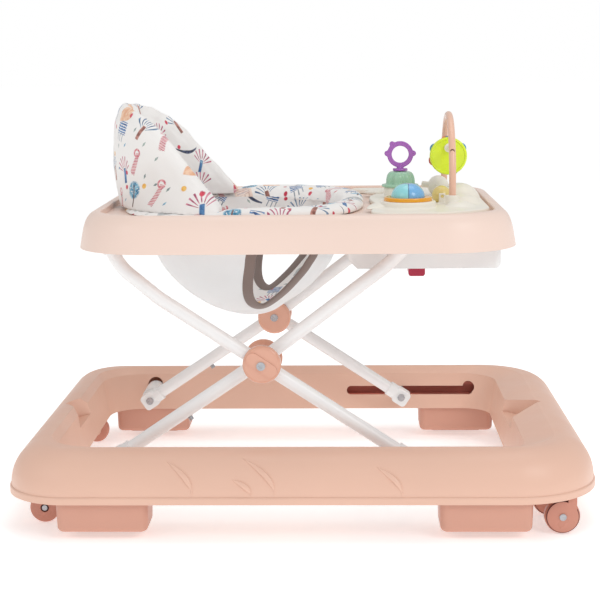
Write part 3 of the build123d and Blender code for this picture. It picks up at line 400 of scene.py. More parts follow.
MATERIALS = {
    "base_plastic": moulded("base_plastic", "#e9bfaa"),
    "wheel_plastic": moulded("wheel_plastic", "#cf8f7b", 0.3),
    "tray_plastic": moulded("tray_plastic", "#f3dacd", 0.34),
    "cream_plastic": moulded("cream_plastic", "#f4efe3", 0.36),
    "white_plastic": moulded("white_plastic", "#f1f2f2", 0.34),
    "white_paint": painted("white_paint", "#f6f6f6"),
    "steel": zinc("steel"),
    "grip_rubber": rubber("grip_rubber", "#c08f7c"),
    # the slide track is the base plastic's rose made darker: painted shade inside its slot
    "track_plastic": moulded("track_plastic", "#b9685a", 0.5),
    # the stoppers get the base plastic made darker: painted shade
    "stopper_painted_shade": moulded("stopper_painted_shade", "#d59f8b", 0.4),
    "cover_plastic": moulded("cover_plastic", "#e2aa92", 0.22, 0.4),
    # a dark rose used as painted shade in the castor hood gaps and the rear hub recesses
    "gap_painted_shade": moulded("gap_painted_shade", "#6e3a33", 0.6),
    "crimson_plastic": moulded("crimson_plastic", "#ac0036", 0.3, 0.15),
    "seat_fabric": printed("seat_fabric"),
    "sling_fabric": woven("sling_fabric", "#f1f6f8", 0.0016),
    "binding_fabric": woven("binding_fabric", "#857670", 0.0014, 0.4),
    "arch_plastic": moulded("arch_plastic", "#eebfa6", 0.3, 0.3),
    "orange_plastic": moulded("orange_plastic", "#f2a81c", 0.22, 0.5),
    "green_plastic": moulded("green_plastic", "#a3d0b2", 0.24, 0.5),
    "purple_plastic": moulded("purple_plastic", "#ac62c0", 0.24, 0.5),
    "blue_plastic": two_tone("blue_plastic", "#96dfe6", "#78b8ea", button_middle),
    "yellow_plastic": moulded("yellow_plastic", "#e4fb2c", 0.25, 0.5),
    "amber_plastic": moulded("amber_plastic", "#e8d282", 0.28, 0.4),
    "star_plastic": nub_colours("star_plastic", spinner_middle),
}
for entry in frame["record"]["subparts"]:
    node = frame["nodes"][entry["node"]]
    node.data.materials.clear()
    node.data.materials.append(MATERIALS[entry["material_slot"]])
SHADES = {
    "ball_roller": "amber_plastic",
    # the stoppers take the darkened copy of the base plastic: painted shade
    "front_stoppers": "stopper_painted_shade",
    "rear_stoppers": "stopper_painted_shade",
    "outer_pivot_covers": "cover_plastic",
    "inner_pivot_covers": "cover_plastic",
}
for name, finish_name in SHADES.items():
    frame["nodes"][name].data.materials[0] = MATERIALS[finish_name]


# ------------------------------------------------------------------ mesh helpers
def new_piece(name, vertices, faces, material, body):
    """A mesh object made from points and faces, riding on its body."""
    mesh = bpy.data.meshes.new(name)
    mesh.from_pydata([tuple(v) for v in vertices], [], faces)
    mesh.update()
    thing = bpy.data.objects.new(name, mesh)
    scene.collection.objects.link(thing)
    mesh.materials.append(MATERIALS[material])
    for face in mesh.polygons:
        face.use_smooth = True
    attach(thing, body)
    return thing


def grid_faces(rows, columns, closed_rows=False):
    """Quads between points that are laid out row by row, each row running all the way round."""
    faces = []
    for i in range(rows if closed_rows else rows - 1):
        for j in range(columns):
            a, b = i * columns + j, i * columns + (j + 1) % columns
            c, d = ((i + 1) % rows) * columns + (j + 1) % columns, ((i + 1) % rows) * columns + j
            faces.append((a, b, c, d))
    return faces


def catmull(points, per_span, closed=False):
    """A smooth curve through points of any dimension."""
    points = np.array(points, float)
    n = len(points)
    curve = []
    for i in range(n if closed else n - 1):
        if closed:
            p0, p1, p2, p3 = (points[(i + k) % n] for k in (-1, 0, 1, 2))
        else:
            p0, p1, p2, p3 = points[max(i - 1, 0)], points[i], points[i + 1], points[min(i + 2, n - 1)]
        for step in range(per_span):
            t = step / per_span
            curve.append(
                0.5
                * (
                    2 * p1
                    + (p2 - p0) * t
                    + (2 * p0 - 5 * p1 + 4 * p2 - p3) * t * t
                    + (3 * p1 - 3 * p2 + p3 - p0) * t**3
                )
            )
    if not closed:
        curve.append(points[-1])
    return np.array(curve)


def swept(path, ups, width, height, sides=12, closed=False, power=2.0, taper=None):
    """Points and faces of a rounded strip along a path: width across, height along the ups."""
    path = np.array(path, float)
    ups = np.array(ups, float)
    n = len(path)
    vertices = []
    for i in range(n):
        ahead = path[(i + 1) % n] if closed or i + 1 < n else path[i]
        behind = path[i - 1] if closed or i > 0 else path[i]
        along = ahead - behind
        along /= np.linalg.norm(along) + 1e-12
        up = ups[i] - along * (ups[i] @ along)
        up /= np.linalg.norm(up) + 1e-12
        side = np.cross(along, up)
        size = 1.0 if taper is None else taper[i]
        for k in range(sides):
            angle = tau * k / sides
            c, s = cos(angle), sin(angle)
            c = abs(c) ** (2 / power) * (1 if c >= 0 else -1)
            s = abs(s) ** (2 / power) * (1 if s >= 0 else -1)
            vertices.append(path[i] + side * (c * width / 2 * size) + up * (s * height / 2 * size))
    faces = grid_faces(n, sides, closed_rows=closed)
    if not closed:
        faces.append(tuple(range(sides))[::-1])
        faces.append(tuple(range((n - 1) * sides, n * sides)))
    return vertices, faces


def set_cloth_points(thing, rule):
    """Store the cloth's flat coordinates on a mesh, worked out from each point's place."""
    mesh = thing.data
    layer = mesh.attributes.get("cloth") or mesh.attributes.new("cloth", "FLOAT_VECTOR", "POINT")
    for vertex, item in zip(mesh.vertices, layer.data):
        item.vector = (*rule(vertex.co), 0.0)


def apply_modifiers(thing):
    """Bake a piece's modifiers into its mesh."""
    graph = bpy.context.evaluated_depsgraph_get()
    made = bpy.data.meshes.new_from_object(thing.evaluated_get(graph), depsgraph=graph)
    thing.modifiers.clear()
    thing.data = made


def remeshed(thing, voxel):
    """Even out a closed mesh."""
    modifier = thing.modifiers.new("even", "REMESH")
    modifier.mode = "VOXEL"
    modifier.voxel_size = voxel
    modifier.use_smooth_shade = True
    apply_modifiers(thing)


PUFF_FRAMES = 20


def inflate(thing, voxel, pressure, cap, pinned):
    """Puff a padded form with a cloth simulation, and hold every point within the cap of where it began."""
    remeshed(thing, voxel)
    group = thing.vertex_groups.new(name="pin")
    start = [v.co.copy() for v in thing.data.vertices]
    group.add([v.index for v in thing.data.vertices if pinned(v.co)], 1.0, "REPLACE")
    cloth = thing.modifiers.new("puff", "CLOTH")
    cloth.settings.quality = 6
    cloth.settings.mass = 0.3
    cloth.settings.use_pressure = True
    cloth.settings.uniform_pressure_force = pressure
    cloth.settings.tension_stiffness = 12
    cloth.settings.compression_stiffness = 12
    cloth.settings.bending_stiffness = 0.4
    cloth.settings.effector_weights.gravity = 0
    cloth.settings.vertex_group_mass = "pin"
    cloth.collision_settings.use_collision = False
    cloth.point_cache.frame_start = 1
    cloth.point_cache.frame_end = PUFF_FRAMES
    for step in range(1, PUFF_FRAMES + 1):
        scene.frame_set(step)
    apply_modifiers(thing)
    scene.frame_set(1)
    for vertex, home in zip(thing.data.vertices, start):
        moved = vertex.co - home
        if moved.length > cap:
            vertex.co = home + moved.normalized() * cap
    smooth = thing.modifiers.new("soften", "SMOOTH")
    smooth.factor = 0.5
    smooth.iterations = 4
    apply_modifiers(thing)
    thing.vertex_groups.clear()
    for face in thing.data.polygons:
        face.use_smooth = True


# ------------------------------------------------------------------ seat back
BACK_MIDDLE_X = -0.0985
BACK_REACH = 0.1475
BACK_HALF_WIDTH = 0.1375
BACK_THICKNESS = 0.025
BACK_FOOT = 0.3985
BACK_CREST = 0.5395
# top edge seen from the side, from the crest down to the tray
BACK_EDGE = catmull(
    (
        (-0.250, 0.5395), (-0.233, 0.5355), (-0.211, 0.525), (-0.192, 0.5115),
        (-0.174, 0.493), (-0.159, 0.4735), (-0.145, 0.4555), (-0.131, 0.438),
        (-0.117, 0.421), (-0.103, 0.404), (-0.0965, 0.3990),
    ),
    8,
)
# the horseshoe's two ends, in degrees round the seat from the front
BACK_START = 92
BACK_SWEEP = 176
BACK_LEAN = 0.006
WING_FLARE = 0.034
WING_FLARE_HEIGHT = 0.055
# sewn line under the top edge, and creases
SEAM_DROP = 0.017
SEAM_WIDTH = 0.0016
SEAM_DEPTH = 0.0013
CREASE_DEPTH = 0.0011
# the printed cloth as it was before sewing: one face beside the other
BACK_CLOTH_RADIUS = 0.143
BACK_CLOTH_SHIFT = 0.611


def back_height(x):
    """How high the top edge stands above the tray, from the crest behind to the tray at the wings' front."""
    return float(np.interp(x, BACK_EDGE[:, 0], BACK_EDGE[:, 1])) - BACK_FOOT


def build_seat_back():
    """A padded horseshoe with a rounded top edge, puffed by simulation."""
    across, up = 120, 26
    vertices = []
    for i in range(across):
        angle = radians(BACK_START + BACK_SWEEP * i / (across - 1))
        x = BACK_MIDDLE_X + BACK_REACH * cos(angle)
        y = BACK_HALF_WIDTH * sin(angle)
        normal = Vector((cos(angle) / BACK_REACH, sin(angle) / BACK_HALF_WIDTH, 0)).normalized()
        height = max(0.006, back_height(x))
        for k in range(2 * up):
            # up the inner face, over the top and down the outer face
            share = k / (2 * up - 1)
            side = -1 if share < 0.5 else 1
            rise = min(share, 1 - share) * 2
            level = height * sin(rise * pi / 2) ** 0.9
            edge = max(0.0, 1 - (1 - level / height) / 0.22) if height > 0.02 else rise
            half = BACK_THICKNESS / 2 * (1 - edge**2.4) ** 0.5
            half *= 0.86 + 0.2 * sin(pi * min(1.0, level / max(height, 0.03)))
            lean = BACK_LEAN * sin(pi * level / (BACK_CREST - BACK_FOOT)) * max(0.0, -cos(angle))
            if side > 0:
                # the wings spread at the foot to lie over the collar
                lean += WING_FLARE * sin(angle) ** 2 * max(0.0, 1 - level / WING_FLARE_HEIGHT) ** 2
            point = Vector((x, y, BACK_FOOT + level)) + normal * (side * half + lean)
            vertices.append(point)
    columns = 2 * up
    faces = grid_faces(across, columns)
    faces.append(tuple(range(columns))[::-1])
    faces.append(tuple(range((across - 1) * columns, across * columns)))
    back = new_piece("seat_back_pad", vertices, faces, "seat_fabric", "tray")
    inflate(back, 0.0038, 3.0, 0.005, lambda p: p.z < BACK_FOOT + 0.008)
    # soft creases that run down from the shoulders of the wings, and a sewn line under the top edge
    normals = [v.normal.copy() for v in back.data.vertices]
    for vertex, normal in zip(back.data.vertices, normals):
        p = vertex.co
        around = atan2(p.y / BACK_HALF_WIDTH, (p.x - BACK_MIDDLE_X) / BACK_REACH)
        top = back_height(p.x) + BACK_FOOT
        seam = exp(-(((top - p.z - SEAM_DROP) / SEAM_WIDTH) ** 2)) if top > BACK_FOOT + 0.03 else 0
        crease = sin(around * 17 + p.z * 70) * sin(around * 5.3 + p.z * 31)
        fade = min(1.0, max(0.0, (p.z - BACK_FOOT) / 0.03))
        vertex.co = p + normal * (-SEAM_DEPTH * seam + CREASE_DEPTH * crease * fade)
    subdivide = back.modifiers.new("fine", "SUBSURF")
    subdivide.levels = subdivide.render_levels = 1
    apply_modifiers(back)

    def flat(p):
        around = atan2(p.y / BACK_HALF_WIDTH, -(p.x - BACK_MIDDLE_X) / BACK_REACH)
        inner_face = (p.x - BACK_MIDDLE_X) ** 2 / BACK_REACH**2 + p.y**2 / BACK_HALF_WIDTH**2 < 1
        return around * BACK_CLOTH_RADIUS + (BACK_CLOTH_SHIFT if inner_face else 0.0), p.z

    set_cloth_points(back, flat)
    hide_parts("seat_back")


# ------------------------------------------------------------------ seat collar
# rear x, front x, half width and roundness of the collar's two edges
COLLAR_OUTER = (-0.246, 0.0835, 0.193, 3.0)
COLLAR_INNER = (-0.209, 0.042, 0.139, 2.5)
COLLAR_TOP = 0.3955
COLLAR_UNDERSIDE = 0.3947
COLLAR_TURN_DOWN = 0.010


def rounded_outline(rear, front, half_width, power, count):
    """A closed superellipse outline seen from above."""
    middle, reach = (rear + front) / 2, (front - rear) / 2
    points = []
    for i in range(count):
        c, s = cos(tau * i / count), sin(tau * i / count)
        x = middle + reach * abs(c) ** (2 / power) * (1 if c >= 0 else -1)
        y = half_width * abs(s) ** (2 / power) * (1 if s >= 0 else -1)
        points.append((x, y))
    return points


def collar_fullness(d):
    """How far the padding swells between the collar's outer edge (0) and its inner edge (1)."""
    if d < 0.62:
        swell = sin(pi * min(1.0, d * 1.6 + 0.02) ** 0.7)
    else:
        swell = cos((d - 0.62) / 0.38 * pi / 2) ** 0.8
    if d < 0.3:
        return max(swell, 0.0)
    return max(swell, cos((d - 0.3) / 0.7 * pi / 2) ** 0.6)


def build_collar():
    """The padded flap that covers the seat hole's edge, gathered where it turns down into the sling."""
    count, across = 240, 26
    outer = rounded_outline(*COLLAR_OUTER, count)
    inner = rounded_outline(*COLLAR_INNER, count)
    vertices = []
    for i in range(count):
        angle = tau * i / count
        (xo, yo), (xi, yi) = outer[i], inner[i]
        gather = 0.0011 * sin(46 * angle) + 0.0008 * sin(31 * angle + 1)
        for k in range(2 * across):
            share = k / across
            top = share <= 1
            d = share if top else 2 - share
            x, y = xo + (xi - xo) * d, yo + (yi - yo) * d
            if top:
                # flat where the seat back's wings lie on it
                puff = 0.0035 + 0.008 * min(1.0, max(0.0, (x + 0.125) / 0.04))
                z = COLLAR_TOP + puff * collar_fullness(d) - COLLAR_TURN_DOWN * d**6 + gather * d**1.5
            else:
                z = COLLAR_UNDERSIDE - COLLAR_TURN_DOWN * d**6
            vertices.append((x, y, z))
    faces = grid_faces(count, 2 * across, closed_rows=True)
    collar = new_piece("seat_collar_pad", vertices, faces, "seat_fabric", "tray")
    inflate(collar, 0.0035, 1.5, 0.003, lambda p: p.z < 0.396)
    subdivide = collar.modifiers.new("fine", "SUBSURF")
    subdivide.levels = subdivide.render_levels = 1
    apply_modifiers(collar)
    set_cloth_points(collar, lambda p: (p.x + 0.31, p.y * 0.97 + 0.2))
    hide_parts("seat_collar")


# ------------------------------------------------------------------ seat sling
# from the seat hole down to the crotch: height, rear x, front x, half width, roundness
SLING_LEVELS = [
    (0.3925, -0.213, 0.046, 0.141, 2.7),
    (0.352, -0.210, 0.046, 0.136, 2.7),
    (0.318, -0.200, 0.037, 0.126, 2.6),
    (0.284, -0.172, 0.008, 0.106, 2.4),
    (0.259, -0.137, -0.026, 0.078, 2.2),
    (0.246, -0.104, -0.046, 0.044, 2.0),
    (0.2425, -0.078, -0.070, 0.006, 2.0),
]
LEVEL_CURVE = catmull(SLING_LEVELS, 16)
# leg hole seen from the side: down its nearly upright rear edge, then up and forward along its front edge
LEG_HOLE = [
    (-0.0625, 0.350), (-0.071, 0.320), (-0.0745, 0.288), (-0.069, 0.269), (-0.054, 0.264),
    (-0.031, 0.281), (-0.011, 0.302), (0.006, 0.324), (0.014, 0.346), (-0.026, 0.357),
]
HOLE_CURVE = catmull(LEG_HOLE, 14, closed=True)


def sling_level(z):
    """Rear x, front x, half width and roundness of the sling at a height."""
    heights = LEVEL_CURVE[::-1, 0]
    return [np.interp(z, heights, LEVEL_CURVE[::-1, column]) for column in (1, 2, 3, 4)]


def sling_half_width(x, z):
    """How far the sling stands out from the middle plane at a place seen from the side."""
    rear, front, half, power = sling_level(z)
    share = min(0.999, abs((x - (rear + front) / 2) / ((front - rear) / 2)))
    return half * (1 - share**power) ** (1 / power)


def inside(point, outline):
    """Whether a point seen from the side lies inside a closed outline."""
    x, z = point
    hit = False
    for (x1, z1), (x2, z2) in zip(outline, np.roll(outline, -1, axis=0)):
        if (z1 > z) != (z2 > z) and x < (x2 - x1) * (z - z1) / (z2 - z1) + x1:
            hit = not hit
    return hit


def build_sling():
    """The hanging cloth seat with a bound leg hole on each side."""
    around = 220
    vertices = []
    for z, rear, front, half, power in LEVEL_CURVE:
        middle, reach = (rear + front) / 2, (front - rear) / 2
        for i in range(around):
            c, s = cos(tau * i / around), sin(tau * i / around)
            x = middle + reach * abs(c) ** (2 / power) * (1 if c >= 0 else -1)
            y = half * abs(s) ** (2 / power) * (1 if s >= 0 else -1)
            drape = 0.0012 * sin(23 * tau * i / around) * max(0.0, (z - 0.30) / 0.1)
            normal = Vector((c, s, 0)).normalized()
            vertices.append(Vector((x, y, z)) + normal * drape)
    rows = len(LEVEL_CURVE)
    faces = []
    for face in grid_faces(rows, around):
        centre = sum((vertices[k] for k in face), Vector()) / 4
        if abs(centre.y) > 0.03 and inside((centre.x, centre.z), HOLE_CURVE):
            continue
        faces.append(face)
    bottom = list(range((rows - 1) * around, rows * around))
    faces.append(tuple(bottom[::-1]))
    sling = new_piece("seat_sling_cloth", vertices, faces, "sling_fabric", "tray")
    form = bmesh.new()
    form.from_mesh(sling.data)
    bmesh.ops.delete(form, geom=[v for v in form.verts if not v.link_faces], context="VERTS")
    for edge in form.edges:
        if not edge.is_boundary:
            continue
        for vertex in edge.verts:
            if vertex.co.z > 0.38:
                continue
            side = 1 if vertex.co.y > 0 else -1
            place = np.array((vertex.co.x, vertex.co.z))
            nearest = HOLE_CURVE[np.argmin(((HOLE_CURVE - place) ** 2).sum(1))]
            vertex.co = Vector((nearest[0], side * sling_half_width(*nearest), nearest[1]))
    bmesh.ops.recalc_face_normals(form, faces=form.faces)
    form.to_mesh(sling.data)
    form.free()
    sling.data.materials.append(MATERIALS["seat_fabric"])
    thick = sling.modifiers.new("cloth", "SOLIDIFY")
    thick.thickness = 0.0016
    thick.offset = -1
    thick.material_offset = 1
    apply_modifiers(sling)
    set_cloth_points(sling, lambda p: (p.x + 0.1 * (1 if p.y > 0 else -1), p.z + abs(p.y)))
    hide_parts("seat_sling")
    return sling


BINDING_WIDTH = 0.0145
BINDING_THICKNESS = 0.0044


def build_bindings():
    """A folded tape sewn round each leg hole."""
    bindings = []
    for side_name, side in SIDES.items():
        path, ups = [], []
        for x, z in HOLE_CURVE:
            step = 0.003
            y = sling_half_width(x, z)
            slope_x = (sling_half_width(x + step, z) - sling_half_width(x - step, z)) / (2 * step)
            slope_z = (sling_half_width(x, z + step) - sling_half_width(x, z - step)) / (2 * step)
            path.append((x, side * (y - 0.0008), z))
            ups.append((-slope_x, side, -slope_z))
        vertices, faces = swept(path, ups, BINDING_WIDTH, BINDING_THICKNESS, sides=16, closed=True, power=2.6)
        name = f"leg_binding_{side_name}"
        tape = new_piece(name, vertices, faces, "binding_fabric", "tray")
        set_cloth_points(tape, lambda p: (p.x, p.z))
        bindings.append(tape)
    return bindings


build_seat_back()
build_collar()
sling_cloth = build_sling()
leg_bindings = build_bindings()


# ------------------------------------------------------------------ base details
LIP_TOP = 0.0585
CREST = 0.111
RAIL_IN = 0.043
HALF_WIDTH = 0.295
# how far the strokes' middle line is sunk into the rail
WAVE_SINK = 0.002
WAVE_FOOT = 0.0605
WAVE_WIDTH = 0.0075
WAVE_HEIGHT = 0.0052
WAVE_STEPS = 24


def rail_point(x, z, side):
    """A point on the outer face of a side rail: a quarter ellipse from the lip up to the crest."""
    rise = min(1.0, max(0.0, (z - LIP_TOP) / (CREST - LIP_TOP)))
    turn = np.arcsin(rise)
    y = HALF_WIDTH - WAVE_SINK - RAIL_IN * (1 - cos(turn))
    normal = np.array((0, cos(turn) / RAIL_IN, sin(turn) / (CREST - LIP_TOP)))
    normal /= np.linalg.norm(normal)
    point = np.array((x, y * side, z))
    normal[1] *= side
    return point, normal


def build_waves():
    """Raised curved strokes on the outer face of both side rails."""
    # where each stroke starts along the rail and how high, and how far it runs forward
    strokes = ((-0.168, 0.100, 0.032), (-0.086, 0.080, 0.023), (-0.073, 0.103, 0.040), (0.094, 0.094, 0.031))
    for side_name, side in SIDES.items():
        vertices, faces = [], []
        for start, top, run in strokes:
            path, ups, taper = [], [], []
            for k in range(WAVE_STEPS + 1):
                t = k / WAVE_STEPS
                x = start + run * (1 - (1 - t) ** 2.2)
                z = top + (WAVE_FOOT - top) * t
                point, normal = rail_point(x, z, side)
                path.append(point)
                ups.append(normal)
                swell = sin(pi * min(1.0, t * 1.15)) ** 0.7 if t < 0.87 else (1 - t) / 0.13 * 0.4
                taper.append(max(0.06, swell))
            v, f = swept(path, ups, WAVE_WIDTH, WAVE_HEIGHT, sides=12, taper=taper)
            faces += [tuple(i + len(vertices) for i in face) for face in f]
            vertices += v
        new_piece(f"rail_waves_{side_name}", vertices, faces, "base_plastic", "base")


build_waves()

# dark rings of painted shade in the castor hood gaps and round the rear hubs
HOOD_GAP_RADIUS = 0.0203
HOOD_GAP_INSET = 0.0016
# the gap is open where the stem comes down into the hood: where it starts and how far it runs, in degrees
HOOD_GAP_START = 73
HOOD_GAP_SWEEP = 316
HUB_RECESS_RADIUS = 0.0046
HUB_RECESS_INSET = 0.0026


def full_turn(count):
    """Angles all the way round."""
    return [tau * k / count for k in range(count)]


def upright_arc(middle, radius, y, angles):
    """Points on a circle that stands upright and faces sideways."""
    return [(middle.x + radius * cos(a), y, middle.z + radius * sin(a)) for a in angles]


def build_wheel_shade_rings():
    """Painted shade: dark rings laid in the gap between each castor's hood and its tread, and in the recess
    round each rear hub.
    """
    for row in ("outer", "inner"):
        for side_name in SIDES:
            low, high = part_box(f"castor_wheel_{row}_{side_name}")
            middle = (low + high) / 2
            fork_low, fork_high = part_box(f"castor_fork_{row}_{side_name}")
            angles = [radians(HOOD_GAP_START + HOOD_GAP_SWEEP * k / 80) for k in range(81)]
            for face, y in (("near", fork_low.y + HOOD_GAP_INSET), ("far", fork_high.y - HOOD_GAP_INSET)):
                path = upright_arc(middle, HOOD_GAP_RADIUS, y, angles)
                v, f = swept(path, [(0, 1, 0)] * len(path), 0.0013, 0.0030, sides=8)
                name = f"hood_gap_{row}_{side_name}_{face}"
                new_piece(name, v, f, "gap_painted_shade", f"castor_{row}_{side_name}")
    for side_name, side in SIDES.items():
        low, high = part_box(f"rear_wheel_{side_name}")
        middle = (low + high) / 2
        y = (high.y if side > 0 else low.y) - side * HUB_RECESS_INSET
        path = upright_arc(middle, HUB_RECESS_RADIUS, y, full_turn(48))
        v, f = swept(path, [(0, 1, 0)] * len(path), 0.0019, 0.0008, sides=8, closed=True)
        new_piece(f"hub_recess_shade_{side_name}", v, f, "gap_painted_shade", f"rear_wheel_{side_name}")


build_wheel_shade_rings()


# ------------------------------------------------------------------ toys
def softened(node_name, voxel, rounds, material):
    """A moulded toy part with every edge rounded: the CAD form, remeshed finely and smoothed."""
    source = frame["nodes"][node_name]
    thing = bpy.data.objects.new(f"{node_name}_moulding", source.data.copy())
    scene.collection.objects.link(thing)
    thing.data.materials.clear()
    remeshed(thing, voxel)
    smooth = thing.modifiers.new("round", "SMOOTH")
    smooth.factor = 0.5
    smooth.iterations = rounds
    apply_modifiers(thing)
    thing.data.materials.clear()
    thing.data.materials.append(MATERIALS[material])
    for face in thing.data.polygons:
        face.use_smooth = True
    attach(thing, source["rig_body"])
    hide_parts(node_name)
    return thing


softened("toy_panel", 0.0012, 5, "cream_plastic")
softened("purple_ring", 0.0008, 4, "purple_plastic")
softened("spinner_star", 0.0009, 4, "star_plastic")


def turned(name, profile, middle, lobes, depth, material, body, count=144):
    """A turned form whose radius swells and narrows in lobes round its axis."""
    vertices = []
    for radius, z, share in profile:
        for i in range(count):
            angle = tau * i / count
            reach = radius * (1 - depth * share * (0.5 - 0.5 * cos(lobes * angle)) ** 2)
            vertices.append((middle[0] + reach * cos(angle), middle[1] + reach * sin(angle), z))
    rows = len(profile)
    faces = grid_faces(rows, count)
    faces.append(tuple(range(count))[::-1])
    faces.append(tuple(range((rows - 1) * count, rows * count)))
    return new_piece(name, vertices, faces, material, body)


KNOB_DOME_HEIGHT = 0.022
KNOB_STEM_RADIUS = 0.0040
KNOB_FLANGE_RADIUS = 0.026
KNOB_FLANGE_EDGE = 0.0256
KNOB_LOBES = 7
KNOB_LOBE_DEPTH = 0.16


def build_knob():
    """The green knob: a stem, a thin flange and a dome with soft lobes."""
    low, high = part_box("green_knob")
    floor = high.z - KNOB_DOME_HEIGHT
    # radius, height and how much of the lobes shows
    profile = [
        (KNOB_STEM_RADIUS, low.z, 0),
        (KNOB_STEM_RADIUS, floor - 0.0004, 0),
        (KNOB_FLANGE_EDGE, floor, 0),
        (KNOB_FLANGE_RADIUS, floor + 0.0014, 0),
        (KNOB_FLANGE_EDGE, floor + 0.0030, 0),
        (0.0222, floor + 0.0034, 0.5),
    ]
    for step in range(13):
        turn = radians(90 * step / 12)
        radius = 0.0095 + 0.0113 * cos(turn) ** 0.7
        height = floor + 0.0045 + 0.0168 * sin(turn) ** 0.9
        profile.append((radius, height, 1 - 0.6 * sin(turn)))
    profile.append((0.002, high.z - 0.0002, 0))
    middle = (low + high) / 2
    knob = turned("green_knob_lobed", profile, middle, KNOB_LOBES, KNOB_LOBE_DEPTH, "green_plastic", "knob")
    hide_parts("green_knob")


build_knob()

DISC_RIM_INSET = 0.0022
DISC_RIM_PROUD = 0.0002
BUSHING_RADIUS = 0.0046
BUSHING_PROUD = 0.0004


def build_disc_rim():
    """A raised rim round the yellow spinner disc and a cream bushing at its middle hole."""
    radius = (spinner_high.x - spinner_low.x) / 2 - DISC_RIM_INSET
    path = upright_arc(spinner_middle, radius, spinner_low.y - DISC_RIM_PROUD, full_turn(96))
    v, f = swept(path, [(0, -1, 0)] * len(path), 0.0032, 0.0026, sides=10, closed=True)
    new_piece("spinner_disc_rim", v, f, "yellow_plastic", "spinner")
    spindle_low, spindle_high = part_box("spinner_spindle")
    axis = (spindle_low + spindle_high) / 2
    path = upright_arc(axis, BUSHING_RADIUS, spinner_low.y - BUSHING_PROUD, full_turn(48))
    v, f = swept(path, [(0, -1, 0)] * len(path), 0.0028, 0.0030, sides=10, closed=True)
    new_piece("spinner_bushing", v, f, "cream_plastic", "spinner")


build_disc_rim()

TIP_ROOT_X = 0.1155
TIP_LENGTH = 0.030
TIP_ROOT_Y = 0.102
TIP_SWEEP = 0.020
TIP_FOOT = 0.3962
TIP_WIDTH = 0.052
TIP_THICKNESS = 0.0125
TIP_STEPS = 32


def build_panel_tips():
    """Pointed petals where the panel's scalloped rear edge runs to a tip on each side of the seat."""
    for side_name, side in SIDES.items():
        path, ups, taper = [], [], []
        for k in range(TIP_STEPS + 1):
            t = k / TIP_STEPS
            size = max(0.08, sin(pi / 2 * min(1.0, t / 0.3)) ** 0.5 * (1 - t**1.5) ** 0.9)
            y = side * (TIP_ROOT_Y + TIP_SWEEP * t * t)
            z = TIP_FOOT + 0.0060 * size + 0.003 * t * t
            path.append((TIP_ROOT_X - TIP_LENGTH * t, y, z))
            ups.append((0, 0, 1))
            taper.append(size)
        v, f = swept(path, ups, TIP_WIDTH, TIP_THICKNESS, sides=24, taper=taper, power=2.2)
        new_piece(f"panel_tip_{side_name}", v, f, "cream_plastic", "tray")


build_panel_tips()


# ------------------------------------------------------------------ floor, light and camera
FLOOR_REACH = 30.0
FLOOR_GLOW = 0.4
BACKDROP_LIGHT = 0.62
# name, place, the point it faces, width and power of each lamp
LAMPS = (
    ("key", (1.9, -2.2, 2.2), (0, 0, 0.25), 1.4, 20),
    ("fill", (-1.9, -1.8, 1.8), (0, 0, 0.25), 1.6, 5),
    ("top", (0.3, 0.3, 3.0), (0, 0, 0.2), 2.2, 14),
)
CAMERA_PLACE = (0.055, -2.06, 0.598)
CAMERA_YAW = 1.75
CAMERA_PITCH = 9.35
CAMERA_ROLL = -0.55
SENSOR_WIDTH = 36
LENS = 88.56


def build_stage():
    """The white floor, which glows a little so that it meets the backdrop without an edge."""
    mesh = bpy.data.meshes.new("floor")
    corners = [(x * FLOOR_REACH, y * FLOOR_REACH, 0) for x, y in ((-1, -1), (1, -1), (1, 1), (-1, 1))]
    mesh.from_pydata(corners, [], [(0, 1, 2, 3)])
    floor = bpy.data.objects.new("floor", mesh)
    scene.collection.objects.link(floor)
    glow = {"Emission_Color": (1, 1, 1, 1), "Emission_Strength": FLOOR_GLOW}
    finish = Finish("floor_paper", Specular_IOR_Level=0.0, **glow)
    finish.colour(finish.mix(finish.noise(3, 3), linear("#fbfbfb"), linear("#ffffff")))
    finish.roughness(finish.noise(40, 3), 0.8, 0.9)
    finish.bump(finish.noise(400, 2), 0.0001, 0.2)
    mesh.materials.append(finish.material)


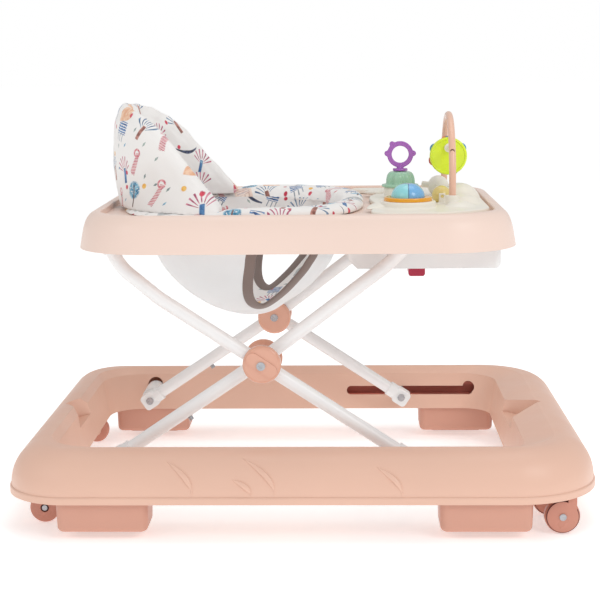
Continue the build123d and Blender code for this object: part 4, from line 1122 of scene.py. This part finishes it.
def area_light(name, place, target, size, power):
    """A round lamp that faces a point."""
    data = bpy.data.lights.new(name, "AREA")
    data.shape = "DISK"
    data.size = size
    data.energy = power
    lamp = bpy.data.objects.new(name, data)
    scene.collection.objects.link(lamp)
    lamp.location = place
    lamp.rotation_mode = "QUATERNION"
    lamp.rotation_quaternion = (Vector(target) - Vector(place)).to_track_quat("-Z", "Y")


def build_lights():
    """A backdrop that is seen as pure white but lights the walker more softly, and three lamps."""
    world = bpy.data.worlds.new("studio")
    scene.world = world
    world.use_nodes = True
    tree = world.node_tree
    dim = tree.nodes["Background"]
    bright = tree.nodes.new("ShaderNodeBackground")
    for backdrop, strength in ((dim, BACKDROP_LIGHT), (bright, 1.0)):
        backdrop.inputs["Color"].default_value = (1, 1, 1, 1)
        backdrop.inputs["Strength"].default_value = strength
    seen = tree.nodes.new("ShaderNodeLightPath").outputs["Is Camera Ray"]
    mixed = tree.nodes.new("ShaderNodeMixShader")
    tree.links.new(seen, mixed.inputs["Fac"])
    tree.links.new(dim.outputs[0], mixed.inputs[1])
    tree.links.new(bright.outputs[0], mixed.inputs[2])
    tree.links.new(mixed.outputs[0], tree.nodes["World Output"].inputs["Surface"])
    for lamp in LAMPS:
        area_light(*lamp)
    scene.view_settings.view_transform = "Standard"


def build_camera():
    """A long lens a little above the tray, looking down the walker's side."""
    yaw, pitch, roll = radians(CAMERA_YAW), radians(CAMERA_PITCH), radians(CAMERA_ROLL)
    forward = Vector((-sin(yaw) * cos(pitch), cos(yaw) * cos(pitch), -sin(pitch)))
    right = forward.cross(Vector((0, 0, 1))).normalized()
    up = right.cross(forward)
    right, up = right * cos(roll) + up * sin(roll), up * cos(roll) - right * sin(roll)
    data = bpy.data.cameras.new("camera")
    data.sensor_width = SENSOR_WIDTH
    data.lens = LENS
    camera = bpy.data.objects.new("camera", data)
    scene.collection.objects.link(camera)
    turn = Matrix((right, up, -forward)).transposed()
    camera.matrix_world = Matrix.Translation(CAMERA_PLACE) @ turn.to_4x4()
    scene.camera = camera


build_stage()
build_lights()
build_camera()
